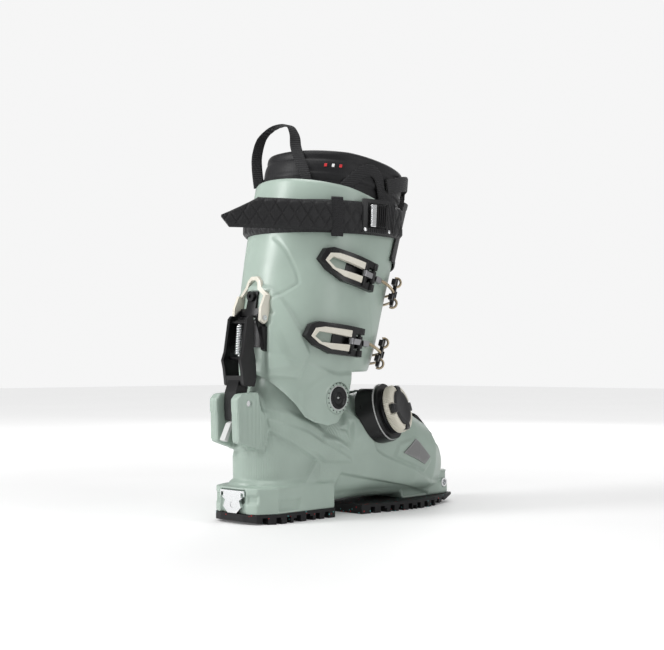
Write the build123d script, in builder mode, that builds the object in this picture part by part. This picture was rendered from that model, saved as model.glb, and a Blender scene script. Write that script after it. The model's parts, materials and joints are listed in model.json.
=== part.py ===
"""Alpine touring ski boot, right foot, in millimetres.

+Y runs from the heel to the toe, +X to the outer (lateral) side and +Z up.
The origin is the mid-sole mark on the ground: the middle of the sole's length.
A leg frame sits on the ankle pivot and leans forward with the cuff. Its outlines
are given as (forward, up the leg) and world side outlines as (Y, Z).
"""

import math
import os
from functools import lru_cache

from build123d import *

os.makedirs("parts", exist_ok=True)

# ---------------------------------------------------------------- driving sizes
SOLE_LENGTH = 287.0
HALF_SOLE = SOLE_LENGTH / 2
SOLE_THICKNESS = 9.0
LEDGE_HEIGHT = 33.0
TREAD_DEPTH = 4.0
FLOOR = 15.8

PIVOT_Y = -54.0
PIVOT_Z = 113.0
FORWARD_LEAN = 15.0
WALL = 3.6
SHELL_RADIUS = 71.0
CUFF_RADIUS = 72.6
LINER_GAP = 3.2
LINER_PAD = 8.0
FAR = 130.0

CAP_RADIUS = 10.5
CLEVIS = (-139.0, 109.0)
WALK_PIN = (-121.5, 187.0)
PIN_RADIUS = 3.0
RUNNING_FIT = 0.05

DIAL_CENTRE = (41.0, 13.0, 96.0)
DIAL_NORMAL = (0.91, 0.30, 0.27)
FLANGE_RADIUS = 29.0
KNOB_RADIUS = 23.5
SHAFT_RADIUS = 4.0

STRAP_LOW = 266.0
STRAP_HIGH = 298.0

OVAL_POINTS = 8
LEAN = math.radians(FORWARD_LEAN)

# height up the leg, centre, half width, half length
CUFF_SECTIONS = [
    (-45, -4, 45, 59),
    (0, -5, 46.5, 65),
    (60, -9, 55.5, 74),
    (262, -12, 68.5, 80.5),
]

# height, centre Y, half width, half length
ANKLE_SECTIONS = [
    (12, -86, 34.5, 51),
    (60, -83, 38.5, 54),
    (113, -61, 40.5, 59),
    (186, -48, 40, 54),
]

# Y, centre X, half width, bottom, top
FOOT_SECTIONS = [
    (-88, 0, 34, 12, 96),
    (-40, 0.5, 40, 12, 110),
    (15, 2, 44.5, 12, 119),
    (60, 2, 49.5, 11, 105),
    (95, 0, 47.5, 11, 88),
    (118, -1, 37, 13, 69),
    (131.5, -1, 15, 20, 42),
]
FOOT_SQUARENESS = 2.6

LEG = Plane(
    origin=(0, PIVOT_Y, PIVOT_Z),
    x_dir=(1, 0, 0),
    z_dir=(0, math.sin(LEAN), math.cos(LEAN)),
)
LEG_SIDE = Plane(
    origin=(0, PIVOT_Y, PIVOT_Z),
    x_dir=(0, math.cos(LEAN), -math.sin(LEAN)),
    z_dir=(1, 0, 0),
)
DIAL = Plane(origin=DIAL_CENTRE, x_dir=(-0.313, 0.95, 0), z_dir=DIAL_NORMAL)


# ---------------------------------------------------------------- helpers
def save(body, name):
    """Labels a finished piece and writes it as its own STEP file."""
    body.part.label = name
    export_step(body.part, f"parts/{name}.step")


def oval_points(half_width, half_length, squareness):
    """Points of a superellipse, which a periodic spline joins."""
    points = []
    for i in range(OVAL_POINTS):
        angle = 2 * math.pi * i / OVAL_POINTS
        c, s = math.cos(angle), math.sin(angle)
        x = half_width * math.copysign(abs(c) ** (2 / squareness), c)
        y = half_length * math.copysign(abs(s) ** (2 / squareness), s)
        points.append((x, y))
    return points


@lru_cache(maxsize=None)
def cuff_body(grow):
    """The leg-shaped solid that the cuff, strap and buckles follow, grown outwards."""
    with BuildPart() as body:
        for height, centre, half_width, half_length in CUFF_SECTIONS:
            with BuildSketch(LEG.offset(height)):
                with Locations((0, centre)):
                    Ellipse(half_width + grow, half_length + grow)
        loft(ruled=True)
    return body.part


@lru_cache(maxsize=None)
def ankle_body(grow):
    """Heel and ankle of the lower shell, by level sections."""
    with BuildPart() as body:
        for height, centre, half_width, half_length in ANKLE_SECTIONS:
            with BuildSketch(Plane.XY.offset(height)):
                with Locations((0, centre)):
                    Ellipse(half_width + grow, half_length + grow)
        loft(ruled=True)
    return body.part


@lru_cache(maxsize=None)
def foot_body(grow):
    """Instep and toe box of the lower shell, by upright sections."""
    with BuildPart() as body:
        for y, centre, half_width, bottom, top in FOOT_SECTIONS:
            middle = (top + bottom) / 2
            plane = Plane(origin=(centre, y, middle), x_dir=(1, 0, 0), z_dir=(0, -1, 0))
            oval = oval_points(half_width + grow, middle - bottom + grow, FOOT_SQUARENESS)
            with BuildSketch(plane):
                with BuildLine():
                    Spline(*oval, periodic=True)
                make_face()
        loft(ruled=True)
    return body.part


def prism(plane, outline, low, high):
    """A straight prism over a closed outline, between two offsets of its plane."""
    with BuildPart() as body:
        with BuildSketch(plane.offset(low)):
            with BuildLine():
                Polyline(*outline, close=True)
            make_face()
        extrude(amount=high - low)
    return body.part


def side_prism(outline, low_x, high_x):
    """A prism across the boot from a (Y, Z) outline."""
    return prism(Plane.YZ, outline, low_x, high_x)


def leg_prism(outline, low_x, high_x):
    """A prism across the leg from a (forward, up the leg) outline."""
    return prism(LEG_SIDE, outline, low_x, high_x)


def bar(plane, radius, low, high):
    """A round bar along a plane's normal."""
    with BuildPart() as body:
        with BuildSketch(plane.offset(low)):
            Circle(radius)
        extrude(amount=high - low)
    return body.part


def cross_bar(centre, radius, low_x, high_x):
    """A round bar across the boot through a (Y, Z) point."""
    return bar(Plane(origin=(0, *centre), x_dir=(0, 1, 0), z_dir=(1, 0, 0)), radius, low_x, high_x)


def block(low, high):
    """A box between two corners."""
    outline = [(low[1], low[2]), (high[1], low[2]), (high[1], high[2]), (low[1], high[2])]
    return side_prism(outline, low[0], high[0])


def hug(high, low, cutter):
    """A skin that hugs the cuff between two growths, kept inside a cutter."""
    with BuildPart() as skin:
        add(cuff_body(high))
        add(cuff_body(low), mode=Mode.SUBTRACT)
        add(cutter, mode=Mode.INTERSECT)
    return skin.part


def foot_skin(high, low, cutter):
    """A skin that hugs the instep between two growths, kept inside a cutter."""
    with BuildPart() as skin:
        add(foot_body(high))
        add(foot_body(low), mode=Mode.SUBTRACT)
        add(cutter, mode=Mode.INTERSECT)
    return skin.part


def join(*pieces):
    """Fuses finished solids."""
    with BuildPart() as body:
        for piece in pieces:
            add(piece)
    return body.part


def wire(points, radius, plane):
    """A round wire along a smooth path that starts square to a plane."""
    with BuildPart() as body:
        with BuildLine():
            Spline(*points)
        with BuildSketch(plane):
            Circle(radius)
        sweep()
    return body.part


def both_bodies_within(grow, cutter):
    """The foot and ankle solids, kept inside a cutter and fused."""
    with BuildPart() as foot:
        add(foot_body(grow))
        add(cutter, mode=Mode.INTERSECT)
    with BuildPart() as ankle:
        add(ankle_body(grow))
        add(cutter, mode=Mode.INTERSECT)
    return join(foot.part, ankle.part)


def pivot_disc(radius, low, high):
    """A disc on the ankle pivot's axis."""
    return cross_bar((PIVOT_Y, PIVOT_Z), radius, low, high)


# ---------------------------------------------------------------- lower shell
HEEL_PLAN = [
    (-37, -46), (-37, -120), (-28, -138), (-15, -HALF_SOLE),
    (15, -HALF_SOLE), (28, -138), (37, -120), (37, -46),
]
TOE_PLAN = [
    (-38, -12), (-44, 25), (-48, 62), (-46, 92), (-38, 122), (-28, HALF_SOLE),
    (26, HALF_SOLE), (36, 122), (46, 92), (50, 62), (47, 25), (40, -12),
]
TOE_LEDGE_PLAN = [
    (-30, 60), (-31, 118), (-27, 136), (-18, HALF_SOLE),
    (18, HALF_SOLE), (27, 136), (31, 118), (30, 60),
]
EAR = [(-128, 119), (-149, 118), (-154, 113), (-152, 74), (-137, 69), (-114, 62), (-114, 94), (-124, 102)]

shell_keep = join(
    block((-FAR, -FAR - 30, SOLE_THICKNESS), (FAR, FAR + 30, 100)),
    pivot_disc(SHELL_RADIUS, -FAR, FAR),
    block((-FAR, 14, 90), (FAR, FAR + 30, 130)),
)
above_floor = block((-FAR, -FAR - 30, FLOOR), (FAR, 128, 200))
shell_inner = both_bodies_within(-WALL, above_floor)
heel_platform = prism(Plane.XY, HEEL_PLAN, SOLE_THICKNESS, LEDGE_HEIGHT)
toe_platform = prism(Plane.XY, TOE_LEDGE_PLAN, SOLE_THICKNESS, LEDGE_HEIGHT)
instep_slot = block((-9, -30, 92), (11, 64, 150))

with BuildPart() as lower_shell:
    add(ankle_body(0))
    add(foot_body(0))
    add(shell_keep, mode=Mode.INTERSECT)
    add(side_prism(EAR, -19.5, -9.5))
    add(side_prism(EAR, 9.5, 19.5))
    add(heel_platform)
    add(toe_platform)
    add(shell_inner, mode=Mode.SUBTRACT)
    add(instep_slot, mode=Mode.SUBTRACT)
    add(pivot_disc(7.0, -FAR, FAR), mode=Mode.SUBTRACT)
    add(cross_bar(CLEVIS, PIN_RADIUS, -FAR, FAR), mode=Mode.SUBTRACT)
    add(block((-17.2, -FAR - 20, SOLE_THICKNESS), (17.2, -139.4, 31)), mode=Mode.SUBTRACT)
    add(cross_bar((128, 20.5), 4.5, -FAR, FAR), mode=Mode.SUBTRACT)
    add(bar(DIAL, FLANGE_RADIUS + 0.4, 2.8, 40), mode=Mode.SUBTRACT)
save(lower_shell, "lower_shell")

flap_area = side_prism([(24, 70), (74, 70), (74, 140), (24, 140)], -26, 22)
with BuildPart() as instep_flap:
    add(foot_skin(2.8, 0.2, flap_area))
    add(bar(DIAL, FLANGE_RADIUS + 0.3, -20, 40), mode=Mode.SUBTRACT)
save(instep_flap, "instep_flap")

gasket_area = side_prism([(-36, 84), (70, 84), (70, 140), (-36, 140)], -20, 20)
with BuildPart() as throat_gasket:
    add(foot_skin(-WALL - 0.2, -WALL - 1.8, gasket_area))
    add(pivot_disc(SHELL_RADIUS - 9, -FAR, FAR), mode=Mode.SUBTRACT)
save(throat_gasket, "throat_gasket")

board_slab = block((-60, -FAR, 16.5), (60, 112, 20.0))
with BuildPart() as boot_board:
    add(both_bodies_within(-WALL - 0.4, board_slab))
save(boot_board, "boot_board")


# ---------------------------------------------------------------- soles
def tread(plan, grooves, relief):
    """A rubber sole: a solid plate with lugs left between cross grooves."""
    with BuildPart() as sole:
        add(prism(Plane.XY, plan, 0, SOLE_THICKNESS))
        for y in grooves:
            add(block((-70, y - 2.5, -1), (70, y + 2.5, TREAD_DEPTH)), mode=Mode.SUBTRACT)
        add(side_prism(relief, -70, 70), mode=Mode.SUBTRACT)
    return sole.part


HEEL_RELIEF = [(-150, -1), (-128, -1), (-128, 0), (-150, 3.5)]
TOE_RELIEF = [(88, -1), (150, -1), (150, 7.5), (118, 3), (88, 0)]
heel_middle = block((-9, -118, -1), (9, -66, TREAD_DEPTH))
toe_middle = block((-7, 20, -1), (7, 100, TREAD_DEPTH))

with BuildPart() as heel_sole:
    add(tread(HEEL_PLAN, (-118, -98, -78, -58), HEEL_RELIEF))
    add(heel_middle, mode=Mode.SUBTRACT)
save(heel_sole, "heel_sole")

with BuildPart() as toe_sole:
    add(tread(TOE_PLAN, (16, 36, 56, 76, 96, 116), TOE_RELIEF))
    add(toe_middle, mode=Mode.SUBTRACT)
save(toe_sole, "toe_sole")

# ---------------------------------------------------------------- binding inserts
INSERT_OUTLINE = [
    (-16, 30), (-16, 25), (-9.5, 21), (-12, 15), (-6, 9.5),
    (6, 9.5), (12, 15), (9.5, 21), (16, 25), (16, 30),
]
insert_plane = Plane(origin=(0, -139.5, 0), x_dir=(1, 0, 0), z_dir=(0, -1, 0))
with BuildPart() as heel_insert:
    add(prism(insert_plane, INSERT_OUTLINE, 0, 3.6))
    for x in (-13.5, 13.5):
        add(block((x - 1.6, -HALF_SOLE - 1, 24), (x + 1.6, -137, 28)), mode=Mode.SUBTRACT)
    add(bar(insert_plane.offset(-1), 2.6, 0, 6).moved(Location((0, 0, 17))), mode=Mode.SUBTRACT)
save(heel_insert, "heel_insert")

with BuildPart() as heel_insert_screw:
    add(bar(insert_plane.offset(2.4), 2.4, -2.0, 0.9).moved(Location((0, 0, 17))))
save(heel_insert_screw, "heel_insert_screw")

with BuildPart() as toe_insert:
    add(cross_bar((128, 20.5), 4.5, -29.5, 29.5))
    for side in (-1, 1):
        socket = cross_bar((128, 20.5), 2.9, *sorted((side * 25.5, side * 31)))
        add(socket, mode=Mode.SUBTRACT)
save(toe_insert, "toe_insert")

# ---------------------------------------------------------------- lacing dial
with BuildPart() as dial_base:
    add(bar(DIAL, FLANGE_RADIUS, -12, 6.6))
    add(foot_body(0.1), mode=Mode.SUBTRACT)
    add(ankle_body(0.1), mode=Mode.SUBTRACT)
    add(block((0, -60, 120.5), (80, 60, 160)), mode=Mode.SUBTRACT)
    add(bar(DIAL, 14.5, 3, 8), mode=Mode.SUBTRACT)
save(dial_base, "dial_base")

with BuildPart() as dial_ring:
    add(bar(DIAL, FLANGE_RADIUS - 0.8, 6.6, 7.6))
    add(bar(DIAL, FLANGE_RADIUS - 5, 6, 9), mode=Mode.SUBTRACT)
save(dial_ring, "dial_ring")

with BuildPart() as dial_housing:
    add(bar(DIAL, FLANGE_RADIUS - 1.4, 7.6, 11))
    add(bar(DIAL, KNOB_RADIUS - 0.6, 11, 14.2))
    add(bar(DIAL, 14.5, 3.6, 11.6), mode=Mode.SUBTRACT)
    add(bar(DIAL, SHAFT_RADIUS + RUNNING_FIT, 3, 20), mode=Mode.SUBTRACT)
    add(bar(DIAL, FLANGE_RADIUS - 5.1, 6.6, 7.6))
    add(bar(DIAL, 14.5, 3.6, 11.6), mode=Mode.SUBTRACT)
save(dial_housing, "dial_housing")

with BuildPart() as dial_spool:
    add(bar(DIAL, 13.9, 4.0, 5.0))
    add(bar(DIAL, 10.0, 5.0, 7.2))
    add(bar(DIAL, 13.9, 7.2, 8.2))
    add(bar(DIAL, SHAFT_RADIUS + RUNNING_FIT, 3, 10), mode=Mode.SUBTRACT)
save(dial_spool, "dial_spool")

with BuildPart() as dial_shaft:
    add(bar(DIAL, SHAFT_RADIUS, 5.0, 18.5))
save(dial_shaft, "dial_shaft")

with BuildPart() as dial_knob:
    add(bar(DIAL, KNOB_RADIUS, 14.8, 25.0))
    add(bar(DIAL, KNOB_RADIUS - 4.5, 21.5, 26), mode=Mode.SUBTRACT)
    add(bar(DIAL, SHAFT_RADIUS + RUNNING_FIT, 14, 19), mode=Mode.SUBTRACT)
    with BuildSketch(DIAL.offset(14.8)):
        with PolarLocations(KNOB_RADIUS + 0.4, 40):
            Circle(0.8)
    extrude(amount=10.2, mode=Mode.SUBTRACT)
save(dial_knob, "dial_knob")

with BuildPart() as dial_cap:
    add(bar(DIAL, KNOB_RADIUS - 4.6, 21.6, 26.4))
save(dial_cap, "dial_cap")

GUIDE_TOE = [(88, 70), (118, 60), (118, 80), (90, 95)]
GUIDE_THROAT = [(22, 104), (43, 100), (43, 118), (38, 121.5), (24, 121.5)]
with BuildPart() as lace_guide_toe:
    add(foot_skin(5.0, 0.2, side_prism(GUIDE_TOE, 6, 21)))
save(lace_guide_toe, "lace_guide_toe")

with BuildPart() as lace_guide_throat:
    add(foot_skin(6.5, 0.2, side_prism(GUIDE_THROAT, 22.4, 27.5)))
    add(bar(DIAL, FLANGE_RADIUS + 0.2, -20, 20), mode=Mode.SUBTRACT)
save(lace_guide_throat, "lace_guide_throat")

BADGE = [(54, 70), (40, 57), (72, 44), (80, 51)]
with BuildPart() as side_badge:
    add(foot_skin(1.4, 0.1, side_prism(BADGE, 20, 80)))
save(side_badge, "side_badge")

# ---------------------------------------------------------------- ankle pivots
with BuildPart() as pivot_bushings:
    for side in (-1, 1):
        add(pivot_disc(7.0, *sorted((side * 36.4, side * 41.0))))
    add(pivot_disc(4.0 + RUNNING_FIT, -FAR, FAR), mode=Mode.SUBTRACT)
save(pivot_bushings, "pivot_bushings")

with BuildPart() as pivot_screws:
    for side in (-1, 1):
        add(pivot_disc(4.0, *sorted((side * 37.0, side * 45.5))))
        add(pivot_disc(CAP_RADIUS, *sorted((side * 45.5, side * 50.5))))
save(pivot_screws, "pivot_screws")

with BuildPart() as pivot_rings:
    for side in (-1, 1):
        add(pivot_disc(15.0, *sorted((side * 42.5, side * 49.0))))
        add(pivot_disc(CAP_RADIUS, *sorted((side * 45.5, side * 50.0))), mode=Mode.SUBTRACT)
    add(pivot_disc(4.0, -FAR, FAR), mode=Mode.SUBTRACT)
save(pivot_rings, "pivot_rings")

with BuildPart() as clevis_pin:
    add(cross_bar(CLEVIS, PIN_RADIUS, -17.5, 17.5))
save(clevis_pin, "clevis_pin")

# ---------------------------------------------------------------- cuff
CUFF_SIDE = [
    (-150, 160), (-128, 143), (-108, 120), (-90, 95), (-64, 87), (-52, 89), (-40, 103),
    (-37, 137), (14, 137.5), (70, 150), (90, 250), (60, 258), (-95, 320), (-150, 330),
]
slit = leg_prism([(20, -20), (100, -20), (100, 220), (20, 220)], 2, 9)
with BuildPart() as cuff_shell:
    add(hug(0, -WALL, side_prism(CUFF_SIDE, -FAR, FAR)))
    add(pivot_disc(CUFF_RADIUS, -42.0, 42.0), mode=Mode.SUBTRACT)
    add(pivot_disc(15.0, -FAR, FAR), mode=Mode.SUBTRACT)
    add(slit, mode=Mode.SUBTRACT)
save(cuff_shell, "cuff_shell")

flap_side = [(20, 52), (100, 52), (100, 168), (20, 168)]
with BuildPart() as cuff_flap:
    add(hug(-WALL - 0.2, -WALL - 2.4, leg_prism(flap_side, -30, 34)))
save(cuff_flap, "cuff_flap")


# ---------------------------------------------------------------- buckles
class Buckle:
    """Where one buckle sits: its name, hinge on the leg frame and slope to the leg."""

    def __init__(self, name, hinge_forward, height, slope):
        self.name = name
        self.hinge = (hinge_forward, height)
        self.slope = math.radians(slope)

    def spot(self, along, up):
        """A point of the buckle's own outline on the leg frame."""
        c, s = math.cos(self.slope), math.sin(self.slope)
        return (self.hinge[0] + along * c - up * s, self.hinge[1] + along * s + up * c)

    def outline(self, points):
        return [self.spot(*point) for point in points]

    def hinge_plane(self, out_x, along=0.0):
        """A plane square to the hinge axis, centred on it."""
        forward, height = self.spot(along, 0)
        y_dir = (-math.sin(self.slope), math.cos(self.slope))
        origin = LEG_SIDE.from_local_coords((forward, height, out_x))
        tip = LEG_SIDE.from_local_coords((forward + y_dir[0], height + y_dir[1], out_x))
        return Plane(origin=origin, x_dir=(1, 0, 0), z_dir=tip - origin)


UPPER = Buckle("upper", -2.0, 117.0, 0.0)
LOWER = Buckle("lower", 2.0, 54.0, 9.0)
HINGE_X = {"upper": 66.0, "lower": 60.5}

LEVER_OUTER = [
    (-59, 0), (-56, 11), (-50, 14), (-20, 14), (4, 13.5), (4, 7.5), (-8, 7.5),
    (-8, -7.5), (4, -7.5), (4, -13.5), (-20, -14), (-34, -14), (-50, -8),
]
LEVER_WINDOW = [(-55, 0), (-52, 8), (-44, 10), (-14, 10), (-14, -10), (-34, -10), (-47, -6)]
GRIP_OUTER = [(-54.7, 0), (-51.8, 7.8), (-44, 9.8), (-14.2, 9.8), (-14.2, -9.8), (-34, -9.8), (-46.8, -5.8)]
GRIP_WINDOW = [(-52, 0), (-49, 5), (-42, 5), (-14, 3.6), (-14, -3.6), (-34, -4.4), (-45, -4.6)]
BARREL_ROOM = [(-16, -3.4), (-16, 3.4), (6, 3.4), (6, -3.4)]
BARREL = [(-11, -2.6), (12, -2.6), (12, 2.6), (-11, 2.6)]
BASE_PLATE = [(-30, -5), (-30, 5), (-4, 6), (6, 6), (6, -6), (-4, -6)]
BASE_WEB = [(-2.6, -5.4), (2.6, -5.4), (2.6, 5.4), (-2.6, 5.4)]


def buckle_piece(buckle, outer, window, high, low):
    """A skin piece hugging the cuff's outer side over a buckle outline with a window."""
    with BuildPart() as piece:
        add(hug(high, low, leg_prism(buckle.outline(outer), 0, FAR)))
        if window:
            add(leg_prism(buckle.outline(window), 0, FAR), mode=Mode.SUBTRACT)
    return piece.part


for buckle in (UPPER, LOWER):
    hinge_x = HINGE_X[buckle.name]
    hinge = buckle.hinge_plane(hinge_x)
    pivot = buckle.hinge_plane(hinge_x + 1.2, -12)

    with BuildPart() as buckle_base:
        add(buckle_piece(buckle, BASE_PLATE, None, 2.0, 0.2))
        add(buckle_piece(buckle, BASE_WEB, None, 4.4, 0.2))
        add(bar(hinge, 3.2, -5.6, 5.6))
        add(cuff_body(0.2), mode=Mode.SUBTRACT)
        add(bar(hinge, 1.6, -20, 20), mode=Mode.SUBTRACT)
    save(buckle_base, f"buckle_base_{buckle.name}")

    with BuildPart() as lever:
        add(buckle_piece(buckle, LEVER_OUTER, LEVER_WINDOW, 8.4, 3.4))
        add(leg_prism(buckle.outline(BARREL_ROOM), 0, FAR), mode=Mode.SUBTRACT)
        for side in (-1, 1):
            add(bar(hinge, 3.4, *sorted((side * 7.5, side * 13.5))))
        add(bar(hinge, 1.6 - RUNNING_FIT, -13.5, 13.5))
        add(bar(pivot, 1.5, -12, 12))
        add(cuff_body(1.0), mode=Mode.SUBTRACT)
    save(lever, f"lever_{buckle.name}")

    with BuildPart() as grip:
        add(buckle_piece(buckle, GRIP_OUTER, GRIP_WINDOW, 9.2, 4.6))
        add(bar(pivot, 2.4, -14, 14), mode=Mode.SUBTRACT)
    save(grip, f"lever_grip_{buckle.name}")

    with BuildPart() as barrel:
        add(bar(pivot, 2.6, -2.9, 2.9))
        add(hug(10.2, 5.4, leg_prism(buckle.outline(BARREL), 0, FAR)))
        add(bar(pivot, 1.5 + RUNNING_FIT, -14, 14), mode=Mode.SUBTRACT)
        add(bar(hinge, 4.4, -14, 14), mode=Mode.SUBTRACT)
    save(barrel, f"bail_barrel_{buckle.name}")


# ---------------------------------------------------------------- bails and ladders
def wrap_path(grow, height, angles):
    """Points round the leg at one height, by angle from the outer side towards the front."""
    names = [section[0] for section in CUFF_SECTIONS]
    low = max(i for i in range(len(names) - 1) if names[i] <= height)
    share = (height - names[low]) / (names[low + 1] - names[low])
    mix = [a + (b - a) * share for a, b in zip(CUFF_SECTIONS[low][1:], CUFF_SECTIONS[low + 1][1:])]
    points = []
    for angle in angles:
        c, s = math.cos(math.radians(angle)), math.sin(math.radians(angle))
        x = (mix[1] + grow) * c
        forward = mix[0] + (mix[2] + grow) * s
        points.append(LEG.from_local_coords((x, forward, height)))
    return points


def normal_plane(points):
    """The plane square to a path at its first point."""
    return Plane(origin=points[0], x_dir=(1, 0, 0.2), z_dir=points[1] - points[0])


LADDER_HEIGHT = {"upper": 122.0, "lower": 60.0}
for buckle in (UPPER, LOWER):
    height = LADDER_HEIGHT[buckle.name]
    ladder_side = [(18, height - 7), (100, height - 7), (100, height + 7), (18, height + 7)]
    with BuildPart() as ladder:
        add(hug(3.0, 0.2, leg_prism(ladder_side, -26, 1.6)))
        for tooth in range(4):
            low = -22 + 6 * tooth
            add(hug(7.5, 2.0, leg_prism(ladder_side, low, low + 2.6)))
    save(ladder, f"ladder_{buckle.name}")

    with BuildPart() as bail_wire:
        for side in (-1, 1):
            points = wrap_path(8.6, height + side * 4.4, (14, 34, 54, 72, 88))
            add(wire(points, 1.3, normal_plane(points)))
        cross = wrap_path(9.2, height, (88, 94))
        add(bar(Plane(origin=cross[0], x_dir=(1, 0, 0), z_dir=LEG.z_dir), 1.9, -6.5, 6.5))
    save(bail_wire, f"bail_wire_{buckle.name}")

# ---------------------------------------------------------------- walk mechanism
BRACKET_EAR = [(-112, 197), (-121, 194), (-127, 189), (-127, 183), (-119, 158), (-112, 158)]
SIDE_PLATE = [(-112, 179), (-124, 179), (-121, 158), (-114, 154)]
LEVER_LEG = [(-113, 208), (-120, 208), (-125.5, 196), (-126.5, 184.5), (-121.5, 181.5), (-117.5, 184), (-115.5, 190)]
ARCH = [(-19.6, 205), (-19.6, 208), (-10.5, 216), (-8.5, 222), (-4, 226), (4, 226),
        (8.5, 222), (10.5, 216), (19.6, 208), (19.6, 205)]
ARCH_HOLE = [(-16.6, 200), (-16.6, 206), (-7, 214), (-5.5, 220), (-2.5, 222.5), (2.5, 222.5),
             (5.5, 220), (7, 214), (16.6, 206), (16.6, 200)]
BEHIND = Plane(origin=(0, 0, 0), x_dir=(1, 0, 0), z_dir=(0, -1, 0))

with BuildPart() as walk_bracket:
    add(hug(3.2, 0.2, side_prism([(-150, 160), (-80, 160), (-80, 212), (-150, 212)], -6.2, 6.2)))
    add(hug(3.2, 0.2, side_prism([(-150, 160), (-80, 160), (-80, 196), (-150, 196)], -16.2, 16.2)))
    for side in (-1, 1):
        add(side_prism(BRACKET_EAR, *sorted((side * 14.2, side * 16.2))))
        add(side_prism(SIDE_PLATE, *sorted((side * 14.2, side * 19.4))))
    add(cuff_body(0.2), mode=Mode.SUBTRACT)
    add(cross_bar(WALK_PIN, PIN_RADIUS - 0.5, -FAR, FAR), mode=Mode.SUBTRACT)
    add(bar(BEHIND.offset(100), 3.2, 0, 40).moved(Location((0, 0, 207.5))), mode=Mode.SUBTRACT)
save(walk_bracket, "walk_bracket")

with BuildPart() as walk_bolt:
    add(bar(BEHIND.offset(112), 3.2, 0, 8).moved(Location((0, 0, 207.5))))
    add(bar(BEHIND.offset(120), 4.6, 0, 1.6).moved(Location((0, 0, 207.5))))
    add(bar(BEHIND.offset(120), 1.8, 0, 4).moved(Location((0, 0, 207.5))), mode=Mode.SUBTRACT)
    add(cuff_body(0.1), mode=Mode.SUBTRACT)
save(walk_bolt, "walk_bolt")

with BuildPart() as walk_pins:
    for side in (-1, 1):
        add(cross_bar(WALK_PIN, PIN_RADIUS - 0.5, *sorted((side * 14.2, side * 20.6))))
save(walk_pins, "walk_pins")

arch_skin = hug(5.0, 1.0, prism(BEHIND.offset(60), ARCH, 0, 90))
with BuildPart() as walk_lever:
    add(arch_skin)
    add(prism(BEHIND.offset(60), ARCH_HOLE, 0, 90), mode=Mode.SUBTRACT)
    for side in (-1, 1):
        add(side_prism(LEVER_LEG, *sorted((side * 16.6, side * 19.6))))
    add(cuff_body(0.6), mode=Mode.SUBTRACT)
    add(cross_bar(WALK_PIN, PIN_RADIUS - 0.5 + RUNNING_FIT, -FAR, FAR), mode=Mode.SUBTRACT)
save(walk_lever, "walk_lever")

RAIL = [(-128, 124), (-141, 126), (-143, 140), (-145, 148), (-142, 156), (-137, 186), (-134, 189),
        (-130, 188), (-128.6, 184), (-129.5, 162), (-126.5, 148), (-125.5, 132)]
ARM = [(-131, 131), (-141, 131), (-145.5, 119), (-146, 104), (-145, 93), (-140, 93),
       (-134.5, 103), (-133, 112)]
with BuildPart() as walk_link:
    for side in (-1, 1):
        add(side_prism(RAIL, *sorted((side * 10.2, side * 13.6))))
    add(side_prism([(-129.5, 124), (-140.5, 125), (-142, 134), (-131, 134)], -13.6, 13.6))
    add(side_prism(ARM, -7.6, 7.6))
    add(cross_bar((-136, 150), 1.6, -13.6, 13.6))
    add(cross_bar((-133.5, 183), 1.6, -13.6, 13.6))
    add(cross_bar(CLEVIS, PIN_RADIUS + RUNNING_FIT, -FAR, FAR), mode=Mode.SUBTRACT)
save(walk_link, "walk_link")

spring_axis = Plane(origin=(0, -136, 152.4), x_dir=(1, 0, 0), z_dir=(0, 2.5, 30))
with BuildPart() as link_spring:
    add(bar(spring_axis, 3.4, 0, 27))
    add(bar(spring_axis, 1.5, -1, 30), mode=Mode.SUBTRACT)
save(link_spring, "link_spring")

with BuildPart() as link_tab:
    add(side_prism([(-143.5, 92.6), (-147.5, 91), (-155, 76), (-151.5, 74.5)], -3.4, 3.4))
    add(side_prism(ARM, -7.6, 7.6), mode=Mode.SUBTRACT)
save(link_tab, "link_tab")

# ---------------------------------------------------------------- power strap
strap_zone = block((-FAR, -FAR - 60, STRAP_LOW), (FAR, FAR, STRAP_HIGH))
with BuildPart() as power_strap:
    add(hug(5.2, 1.0, strap_zone))
    add(block((-40, 20, 0), (60, FAR, 400)), mode=Mode.SUBTRACT)
save(power_strap, "power_strap")

TAIL = [(59.5, -72.6), (50, -91), (28, -130), (9, -165), (5, -162.5), (24, -128), (46, -89), (54.5, -72.6)]
with BuildPart() as strap_tail:
    add(prism(Plane.XY, TAIL, STRAP_LOW + 2, STRAP_HIGH - 2))
    add(cuff_body(5.6), mode=Mode.SUBTRACT)
save(strap_tail, "strap_tail")

keeper_side = [(-72, 262), (-62, 262), (-62, 302), (-72, 302)]
with BuildPart() as strap_keeper:
    add(hug(7.0, 5.4, side_prism(keeper_side, 30, FAR)))
save(strap_keeper, "strap_keeper")

frame_side = [(-42, 268), (2, 268), (2, 300), (-42, 300)]
frame_hole = [(-36, 273), (-18, 273), (-18, 295), (-36, 295)]
with BuildPart() as strap_buckle:
    add(hug(8.4, 5.5, side_prism(frame_side, 20, FAR)))
    add(side_prism(frame_hole, 20, FAR), mode=Mode.SUBTRACT)
save(strap_buckle, "strap_buckle")

with BuildPart() as strap_cam:
    add(hug(11.4, 8.8, side_prism([(-35, 274), (-13, 274), (-13, 294), (-35, 294)], 20, FAR)))
save(strap_cam, "strap_cam")

with BuildPart() as strap_front_panel:
    add(hug(3.6, 0.8, side_prism([(21, 228), (90, 215), (90, 306), (21, 306)], -36, 56)))
save(strap_front_panel, "strap_front_panel")

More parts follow.
